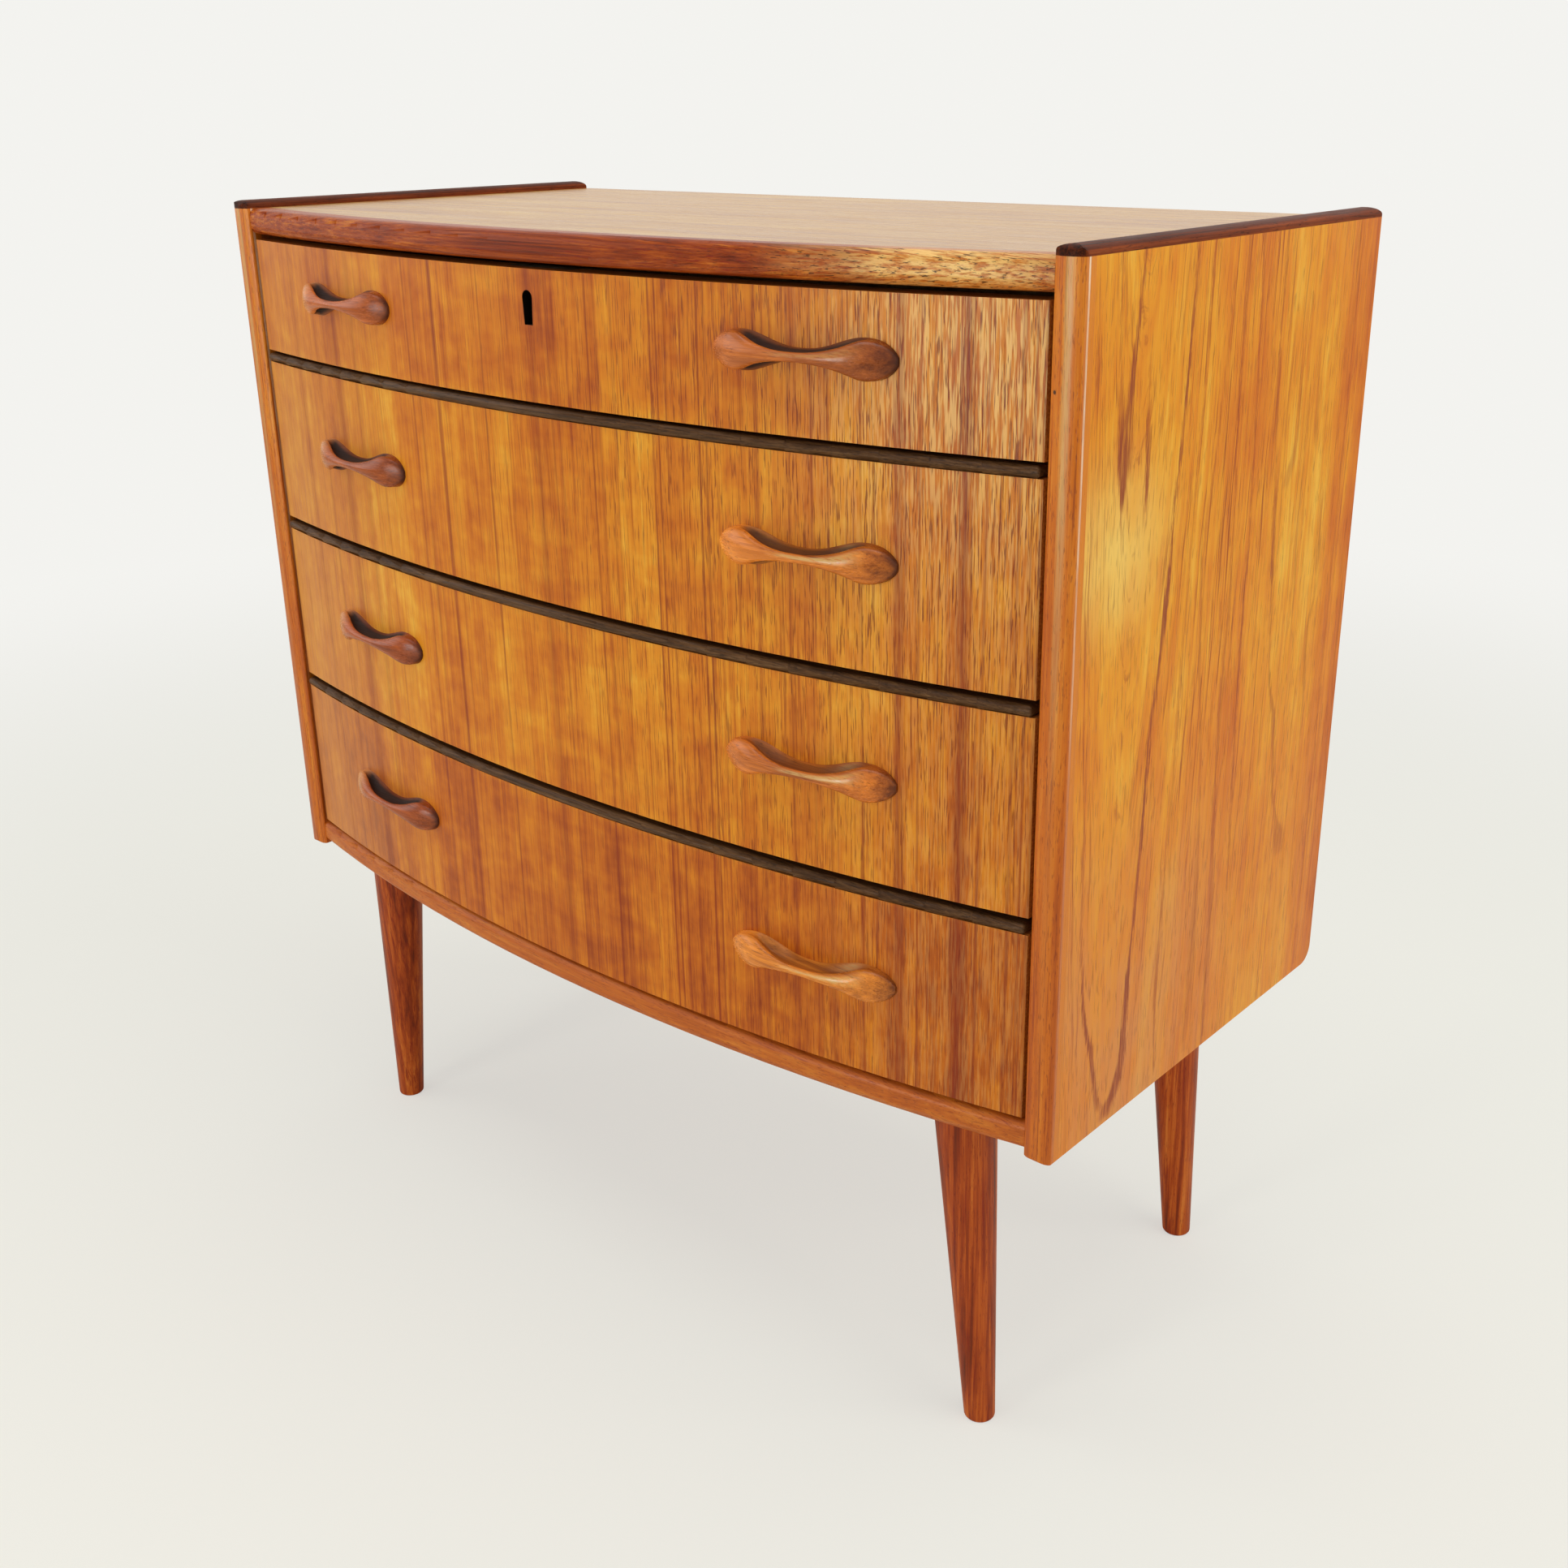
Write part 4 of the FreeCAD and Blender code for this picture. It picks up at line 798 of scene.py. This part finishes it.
def side_patches(wood, colour, cloud):
    """A painted reflection, a bright patch high on the right side, and the duller, redder wood low at the
    front.
    """
    g = wood.graph
    x, y, z = wood.parts
    # Painted reflection: a bright patch high on the right side alone
    glow_y, glow_z, wide, high = GLOW_PATCH
    beside = g.math("DIVIDE", g.math("SUBTRACT", y, glow_y), wide)
    above = g.math("DIVIDE", g.math("SUBTRACT", z, glow_z), high)
    patch = g.between(g.length(g.join(beside, above, 0.0)), GLOW_SPAN)
    patch = g.product(patch, g.between(x, GLOW_SIDE), g.between(cloud, GLOW_CLOUD))
    colour = wood.shade(colour, patch, GLOW)
    low_front = g.product(g.between(z, BLUSH_UP), g.between(y, BLUSH_BACK))
    return wood.shade(colour, g.product(low_front, g.between(cloud, BLUSH_CLOUD)), BLUSH)


def side_lines(wood):
    """All dark lines of the flame, with ragged edges and split into strands."""
    g = wood.graph
    uneven = g.math("SUBTRACT", wood.noise(RAGGED_GRAIN), MIDDLE)
    ragged = g.product(uneven, RAGGED_REACH)
    share = g.share(wood.parts[2], SIDE_LOW, SIDE_HIGH)
    marks = 0.0
    for line in SIDE_LINES:
        marks = g.math("MAXIMUM", marks, side_line(wood, line, share, ragged))
    return g.product(marks, wood.noise_between(STRAND_GRAIN, STRAND_SPAN))


def side_marks(wood, colour, hair):
    """Hair lines where the side is busy, then the dark lines of the flame with their cores."""
    g = wood.graph
    _, y, z = wood.parts
    busy = g.product(g.profile(y, SIDE_BUSY), g.between(z, BUSY_UP))
    colour = wood.shade(colour, g.product(hair, busy), FLAME)
    marks = side_lines(wood)
    colour = wood.shade(colour, g.product(marks, LINE_STRENGTH), FLAME)
    return wood.shade(colour, g.between(marks, CORE_SPAN), FLAME_CORE)


def side_veneer():
    """Teak veneer of the sides, with a flame whose lines rise from its foot like parabolas."""
    wood = Wood("teak_side", sway=SIDE_SWAY)
    g = wood.graph
    x, y, z = wood.parts
    broad, lines, hair = flame_layers(wood)
    fine = wood.noise(SIDE_FINE)
    cloud = wood.noise(SIDE_CLOUD)
    parts = (g.profile(y, SIDE_BANDS), g.profile(z, SIDE_LEVELS), broad, lines, fine, cloud)
    colour = g.palette(g.total(MIDDLE, parts, SIDE_WEIGHTS), SIDE_TEAK)
    colour = side_patches(wood, colour, cloud)
    colour = side_marks(wood, colour, hair)
    pores = wood.noise_between(SIDE_PORES, SIDE_PORE_SPAN)
    colour = wood.shade(colour, g.product(pores, SIDE_POROUS), PORE)
    inner = g.palette(g.total(MIDDLE, (lines, fine, broad), INNER_WEIGHTS), INNER_TEAK)
    outward = g.product(wood.normal()[0], g.math("SIGN", x))
    colour = g.mix(g.between(outward, OUTER_FACE), inner, colour)
    return wood.finish(colour, fine, pores, SIDE_GLOSS)


@dataclass
class Look:
    """Plain wood: its colours, the weights and sizes of broad, line and fine grain, and its gloss."""

    colours: tuple
    grain: str = "x"
    shift: tuple = (0, 0, 0)
    weights: tuple = (0.9, 1.1, 0.5)
    sizes: tuple = (14, 3.2, 1.2)
    length: float = 1.0
    marks: float = 0.6
    streak: tuple = STREAK
    pore: tuple = PORE
    porous: float = 0.5
    fades: tuple = ()
    roughness: float = 0.4
    relief: float = 0.35
    coat: float = 0.0
    specular: float = 0.25

    def sized(self, grain, size):
        """A grain at one of this look's sizes, drawn out by its length."""
        return grain._replace(across=grain.across * size, along=grain.along * self.length)

    def tone(self, wood, fine):
        """Broad grain, lines, fine grain and cloud, then each fade along an axis."""
        g = wood.graph
        broad_size, line_size, _ = self.sizes
        broad = wood.noise(self.sized(BROAD_GRAIN, broad_size))
        lines = wood.noise(self.sized(LINE_GRAIN, line_size))
        parts = [broad, lines, fine, wood.noise(CLOUD)]
        parts += [g.profile(wood.parts[axis], points) for axis, points in self.fades]
        weights = [*self.weights, CLOUD_WEIGHT] + [1.0] * len(self.fades)
        return g.total(MIDDLE, parts, weights)

    def layers(self, name):
        """The wood, and its colour, fine grain and pores."""
        wood = Wood(name, self.grain, self.shift)
        g = wood.graph
        _, line_size, fine_size = self.sizes
        fine = wood.noise(self.sized(FINE_GRAIN, fine_size))
        colour = g.palette(self.tone(wood, fine), self.colours)
        hair = self.sized(HAIR_GRAIN, line_size)
        hair = wood.noise_between(hair, Passage(*HAIR_SPAN, end=self.marks))
        colour = wood.shade(colour, hair, self.streak)
        pores = wood.noise_between(PORE_GRAIN, PORE_SPAN)
        colour = wood.shade(colour, g.product(pores, self.porous), self.pore)
        return wood, colour, fine, pores

    def finished(self, wood, colour, fine, pores, dull=None):
        gloss = Gloss(self.roughness, self.coat, self.relief, self.specular)
        return wood.finish(colour, fine, pores, gloss, dull)

    def material(self, name):
        return self.finished(*self.layers(name))


def top_edge():
    """The top's solid front edge, with a painted highlight and dark cracks toward its right end."""
    wood, colour, fine, pores = TOP_EDGE.layers("teak_edge")
    g = wood.graph
    x, _, z = wood.parts
    # Painted highlight in pale lines toward the right end, high on the edge's front
    shine = g.product(g.profile(x, NOSING_SHINE), g.between(z, EDGE_SHINE_UP))
    shine = g.product(shine, g.between(wood.normal()[1], EDGE_SHINE_FACING))
    shine = g.product(shine, wood.noise_between(EDGE_SHINE_GRAIN, EDGE_SHINE_SPAN))
    colour = wood.shade(colour, shine, GLARE)
    cracks = wood.noise_between(CRACK_GRAIN, CRACK_SPAN)
    colour = wood.shade(colour, g.product(cracks, g.between(x, CRACKS_ACROSS)), CRACK_AND_SHADE)
    return TOP_EDGE.finished(wood, colour, fine, pores)


def lipping():
    """The sides' solid front edges: a pale band and a bright arris, both painted highlight, and one nail
    hole on the right.
    """
    wood, colour, fine, pores = LIPPING.layers("teak_lipping")
    g = wood.graph
    x, y, z = wood.parts
    flank = g.between(g.math("ABSOLUTE", wood.normal()[0]), FLANK_FACING)
    # Painted highlight, strongest high up, on a pale band down the front and on the arris
    sheen = g.product(g.profile(z, LIPPING_SHINE), wood.noise_between(LIPPING_SHEEN_GRAIN, LIPPING_SHEEN_SPAN))
    band = g.between(g.distance(g.math("ABSOLUTE", x), BAND_PLACE), BAND_SPAN)
    colour = wood.shade(colour, g.product(band, sheen), KHAKI_HIGHLIGHT)
    colour = wood.shade(colour, g.product(g.between(y, BEHIND_EDGE), flank), SIDE_TINT)
    arris = g.between(g.distance(y, ARRIS_PLACE), ARRIS_SPAN)
    colour = wood.shade(colour, g.product(arris, flank, sheen), GLINT)
    nail_x, nail_z = NAIL_HOLE
    off_nail = g.join(g.math("SUBTRACT", x, nail_x), g.math("SUBTRACT", z, nail_z), 0.0)
    colour = wood.shade(colour, g.between(g.length(off_nail), NAIL_SPAN), DARK_STREAK_AND_SHADE)
    return LIPPING.finished(wood, colour, fine, pores)


def handle_scoops(wood, along, out):
    """1 in the hollows behind a handle's crest beside its neck, and 0 elsewhere."""
    g = wood.graph
    reach = g.math("ADD", out, g.product(along, along, 1 / (2 * BOW_RADIUS)))
    share = g.math("DIVIDE", g.math("ABSOLUTE", along), HANDLE_HALF)
    crest = g.product(g.profile(share, HANDLE_CREST), HANDLE_REACH)
    behind = g.between(g.math("SUBTRACT", crest, reach), BEHIND_CREST)
    near_root = g.between(g.math("DIVIDE", reach, crest), NEAR_ROOT)
    return g.product(behind, near_root, g.between(g.math("ABSOLUTE", along), BESIDE_NECK))


def handle_shade(wood):
    """Where a handle gets painted shade: in its scoops, and at its steep right end."""
    g = wood.graph
    x, y, _ = wood.parts
    lean_cos, lean_sin = math.cos(HANDLE_LEAN), math.sin(HANDLE_LEAN)
    off_x = g.math("SUBTRACT", g.math("ABSOLUTE", x), HANDLE_MIDDLE)
    off_y = g.math("SUBTRACT", y, HANDLE_ROOT)
    along = g.math("MULTIPLY_ADD", off_x, lean_cos, g.product(off_y, lean_sin))
    out = g.math("SUBTRACT", g.product(off_x, lean_sin), g.product(off_y, lean_cos))
    normal = wood.normal()
    mirrored = g.product(normal[0], g.math("SIGN", x))
    turned = g.math("MULTIPLY_ADD", mirrored, lean_cos, g.product(normal[1], lean_sin))
    away = g.product(turned, g.math("SIGN", along))
    to_right = g.product(g.math("SIGN", x), g.math("SIGN", along))
    ends = g.product(g.between(away, STEEP_END), g.between(to_right, RIGHT_END))
    return g.math("MAXIMUM", handle_scoops(wood, along, out), ends)


def handle_sheen(wood, colour, sheen):
    """A painted highlight, pale along a handle's crest from the neck to the outer lobe, and redder painted
    shade on the rims round that.
    """
    g = wood.graph
    along = g.math("SUBTRACT", g.math("ABSOLUTE", wood.parts[0]), HANDLE_MIDDLE)
    _, forward, up = wood.normal()
    # Painted shade, redder, on the rims that face up or down toward the outer lobe
    shaded_rim = g.product(g.between(g.math("ABSOLUTE", up), RIM_FACING), g.between(along, RIM_ALONG))
    colour = wood.shade(colour, g.product(shaded_rim, sheen), HANDLE_STREAK_AND_SHADE)
    # Painted highlight: pale along the crest, where it faces up and forward
    lengthwise = g.product(g.between(along, SHEEN_FROM), g.between(along, SHEEN_TO))
    facing = g.product(g.between(up, SHEEN_FACING_UP), g.between(up, SHEEN_BELOW_TOP))
    facing = g.product(facing, g.between(forward, SHEEN_FACING_FRONT))
    pale = g.product(lengthwise, facing, wood.noise_between(SHEEN_GRAIN, SHEEN_SPAN), sheen)
    return wood.shade(colour, pale, KHAKI_HIGHLIGHT)


def handle_wood(drawer, hand, handle):
    """The wood of one handle, with its own tone and fading, painted light on the outer left lobe, a
    painted highlight along the crest, and painted shade in the hollows.
    """
    across, deep, along = HANDLE_SHIFT
    shift = (across * drawer, deep * len(hand), along)
    look = replace(HANDLE_LOOK, colours=shades(handle.tone), shift=shift, fades=((0, handle.fade),))
    wood, colour, fine, pores = look.layers("teak_handle_%d_%s" % (drawer, hand))
    g = wood.graph
    # Painted light: the outer lobe of the left-hand handles made pale
    colour = wood.shade(colour, g.between(wood.parts[0], LIT_LOBE_ACROSS), LIT_LOBE)
    if handle.sheen:
        colour = handle_sheen(wood, colour, handle.sheen)
    # Painted shade in the hollows and at the steep right end
    painted_shade = g.product(handle_shade(wood), handle.depth)
    colour = wood.shade(colour, painted_shade, CRACK_AND_SHADE)
    return look.finished(wood, colour, fine, pores, g.product(painted_shade, HOLLOW_DULLNESS))


def shades(tone):
    """Five shades round a colour given as 0 to 255, redder where they are darker."""
    red, green, blue = tone
    steps = ((red * s, green * s ** GREEN_FALL, blue * s ** BLUE_FALL) for s in SHADE_STEPS)
    return tones(*((min(level, BRIGHTEST) for level in step) for step in steps))


def steel(name, colour, roughness):
    """Steel with a faint grind and stains."""
    material, g = new_material(name)
    place = g.place()
    stain = g.node("TexNoise", {"Vector": place, "Scale": STAIN_SCALE, "Detail": STAIN_DETAIL}).outputs[0]
    grind = g.noise(place, GRIND_SIZES)
    stained = tuple(channel * STAIN_SHADE for channel in colour)
    bump = g.node("Bump", {"Height": grind, "Strength": GRIND_STRENGTH, "Distance": GRIND_DEPTH})
    ends = (roughness - GRIND_SMOOTHER, roughness + GRIND_ROUGHER)
    inputs = {
        "Base Color": g.mix(g.between(stain, STAIN_SPAN), rgba(colour), rgba(stained)),
        "Metallic": 1.0,
        "Roughness": g.between(grind, Passage(*FINE_SPAN, *ends)),
        "Normal": bump.outputs[0],
    }
    g.surface(inputs)
    return material


BEECH_LOOK = Look(
    BEECH, "y", (3, 8, 0), marks=0.2, streak=BEECH_STREAK, pore=PALE_PORE, roughness=0.5, specular=0.2,
)
BACK_LOOK = replace(BEECH_LOOK, grain="x")
PLY_LOOK = Look(
    PLY, "z", (9, 2, 5), marks=0.25, streak=PLY_STREAK, pore=PALE_PORE, roughness=0.55, specular=0.2,
)
BOTTOM_LOOK = replace(PLY_LOOK, grain="x")
INNER_LOOK = Look(INNER_TEAK, "x", (4, 3, 1))
TOP_LOOK = Look(
    TOP_TEAK, "x", (30, 240, 20), sizes=(30, 5, 1.5), length=1.6, roughness=0.30, coat=0.25, specular=0.5,
)
TOP_EDGE = Look(
    NOSING_TEAK, "x", (8, 14, 7), (1.0, 1.6, 0.45), (9, 2.0, 0.9), length=1.7, marks=0.9,
    fades=((0, NOSING_FADE),), roughness=0.30, specular=0.13,
)
RAIL_LOOK = Look(RAIL_TEAK, "x", (48, 4, 70), (0.8, 0.9, 0.4), marks=0.4)
LIPPING = Look(
    LIPPING_TEAK, "z", (28, 14, 70), fades=((2, LIPPING_FADE),), roughness=0.32, specular=0.3,
)
LEG_LOOK = Look(
    LEG_TEAK, "z", (18, 34, 7), (1.5, 1.6, 0.6), (12, 3.4, 1.0), marks=0.8, roughness=0.34, specular=0.2,
)
# What the handles share; each brings its own colours, shift and fading
HANDLE_LOOK = Look(
    (), "x", HANDLE_SHIFT, (0.9, 1.0, 0.35), (9, 2.3, 0.9), marks=0.5,
    streak=HANDLE_STREAK_AND_SHADE, porous=0.12, relief=0.12, roughness=0.22, specular=0.3,
)
STRIP_LOOK = Look(
    STRIP_WOOD, "x", (4, 9, 1), (0.5, 0.9, 0.6), (6, 1.4, 0.6), marks=0.5,
    streak=DARK_STREAK_AND_SHADE, pore=DARK_STREAK_AND_SHADE, roughness=0.36, specular=0.12,
)
CAP_LOOK = Look(
    ROSEWOOD, "y", (2, 5, 8), (0.6, 1.0, 0.5), (5, 1.6, 0.7), marks=0.6,
    streak=DARK_STREAK_AND_SHADE, pore=DARK_STREAK_AND_SHADE, fades=((2, CAP_FADE), (1, CAP_END_FADE)),
    roughness=0.4, specular=0.05,
)


def paint(names, material):
    for name in names:
        data = nodes[name].data
        data.materials.clear()
        data.materials.append(material)


def named(*endings):
    return [name for name in nodes if name.endswith(endings)]


def dress():
    """Each piece's material; what isn't named below is beech."""
    paint(nodes, BEECH_LOOK.material("beech"))
    paint(named("_back"), BACK_LOOK.material("beech_back"))
    paint(["back_panel"], PLY_LOOK.material("ply"))
    paint(named("_bottom"), BOTTOM_LOOK.material("ply_bottom"))
    paint(["bottom_panel"], INNER_LOOK.material("teak_inner"))
    paint(named("_front"), front_veneer())
    paint(named("side_panel_left", "side_panel_right"), side_veneer())
    paint(["top_panel"], TOP_LOOK.material("teak_top"))
    paint(["top_nosing"], top_edge())
    paint(["bottom_rail"], RAIL_LOOK.material("teak_rail"))
    paint(named("nosing_left", "nosing_right"), lipping())
    paint([name for name in nodes if name.startswith("leg_")], LEG_LOOK.material("teak_leg"))
    for (drawer, hand), handle in HANDLES.items():
        paint(["drawer_%d_handle_%s" % (drawer, hand)], handle_wood(drawer, hand, handle))
    paint(named("_strip"), STRIP_LOOK.material("dark_strip"))
    paint(named("cap_left", "cap_right"), CAP_LOOK.material("rosewood"))
    paint(named("_screws"), steel("screw_steel", SCREW_STEEL, SCREW_ROUGHNESS))
    paint(["lock_case", "lock_bolt"], steel("lock_steel", LOCK_STEEL, LOCK_ROUGHNESS))


def add(name, data):
    """A new object in the scene."""
    made = bpy.data.objects.new(name, data)
    bpy.context.scene.collection.objects.link(made)
    return made


def make_camera():
    data = bpy.data.cameras.new("camera")
    data.sensor_width = SENSOR_WIDTH
    data.lens = CAMERA_LENS
    data.shift_x, data.shift_y = CAMERA_SHIFT
    data.clip_start = CAMERA_NEAR
    yaw, pitch, roll = (math.radians(a) for a in (CAMERA_YAW, CAMERA_PITCH, CAMERA_ROLL))
    forward = Vector((-math.sin(yaw) * math.cos(pitch), math.cos(yaw) * math.cos(pitch), -math.sin(pitch)))
    level = Vector((math.cos(yaw), math.sin(yaw), 0))
    rise = level.cross(forward)
    right = math.cos(roll) * level + math.sin(roll) * rise
    up = math.cos(roll) * rise - math.sin(roll) * level
    turn = Matrix((right, up, -forward)).transposed().to_4x4()
    camera = add("camera", data)
    camera.matrix_world = Matrix.Translation(CAMERA_PLACE) @ turn
    bpy.context.scene.camera = camera


def make_world():
    world = bpy.data.worlds.new("studio")
    world.use_nodes = True
    bpy.context.scene.world = world
    g = Graph(world.node_tree)
    path = g.node("LightPath").outputs
    seen = g.math("MAXIMUM", path["Is Camera Ray"], path["Is Glossy Ray"])
    seen = g.math("MAXIMUM", seen, path["Is Transmission Ray"])
    lit = g.node("Background", {"Color": rgba(WHITE), "Strength": WORLD_STRENGTH}).outputs[0]
    shown = g.node("Background", {"Color": rgba(BACKGROUND), "Strength": 1.0}).outputs[0]
    mixed = g.node("MixShader", {0: seen, 1: lit, 2: shown}).outputs[0]
    g.feed(g.node("OutputWorld").inputs["Surface"], mixed)


def floor_material():
    """A pale floor that keeps the shadow and passes into the background away from the object."""
    material, g = new_material("floor")
    distance = g.length(g.node("TexCoord").outputs["Object"])
    camera_ray = g.node("LightPath").outputs["Is Camera Ray"]
    fade = g.product(g.between(distance, FLOOR_FADE), camera_ray)
    lit = g.node("BsdfDiffuse", {"Color": rgba(FLOOR_COLOUR)}).outputs[0]
    far = g.node("Emission", {"Color": rgba(BACKGROUND), "Strength": 1.0}).outputs[0]
    mixed = g.node("MixShader", {0: fade, 1: lit, 2: far}).outputs[0]
    g.feed(g.node("OutputMaterial").inputs["Surface"], mixed)
    return material


def make_floor():
    mesh = bpy.data.meshes.new("floor")
    turns = [2 * math.pi * i / FLOOR_SIDES for i in range(FLOOR_SIDES)]
    ring = [(FLOOR_RADIUS * math.cos(t), FLOOR_RADIUS * math.sin(t), 0) for t in turns]
    mesh.from_pydata(ring, [], [list(range(FLOOR_SIDES))])
    mesh.materials.append(floor_material())
    floor = add("floor", mesh)


def make_lamps():
    for name, place, target, size, watts in LAMPS:
        data = bpy.data.lights.new(name, "AREA")
        data.shape = "RECTANGLE"
        data.size, data.size_y = size
        data.energy = watts
        direction = Vector(target) - Vector(place)
        turn = direction.to_track_quat("-Z", "Y").to_matrix().to_4x4()
        add(name, data).matrix_world = Matrix.Translation(place) @ turn


make_camera()
make_world()
make_floor()
make_lamps()
dress()

bpy.context.scene.view_settings.view_transform = "Standard"
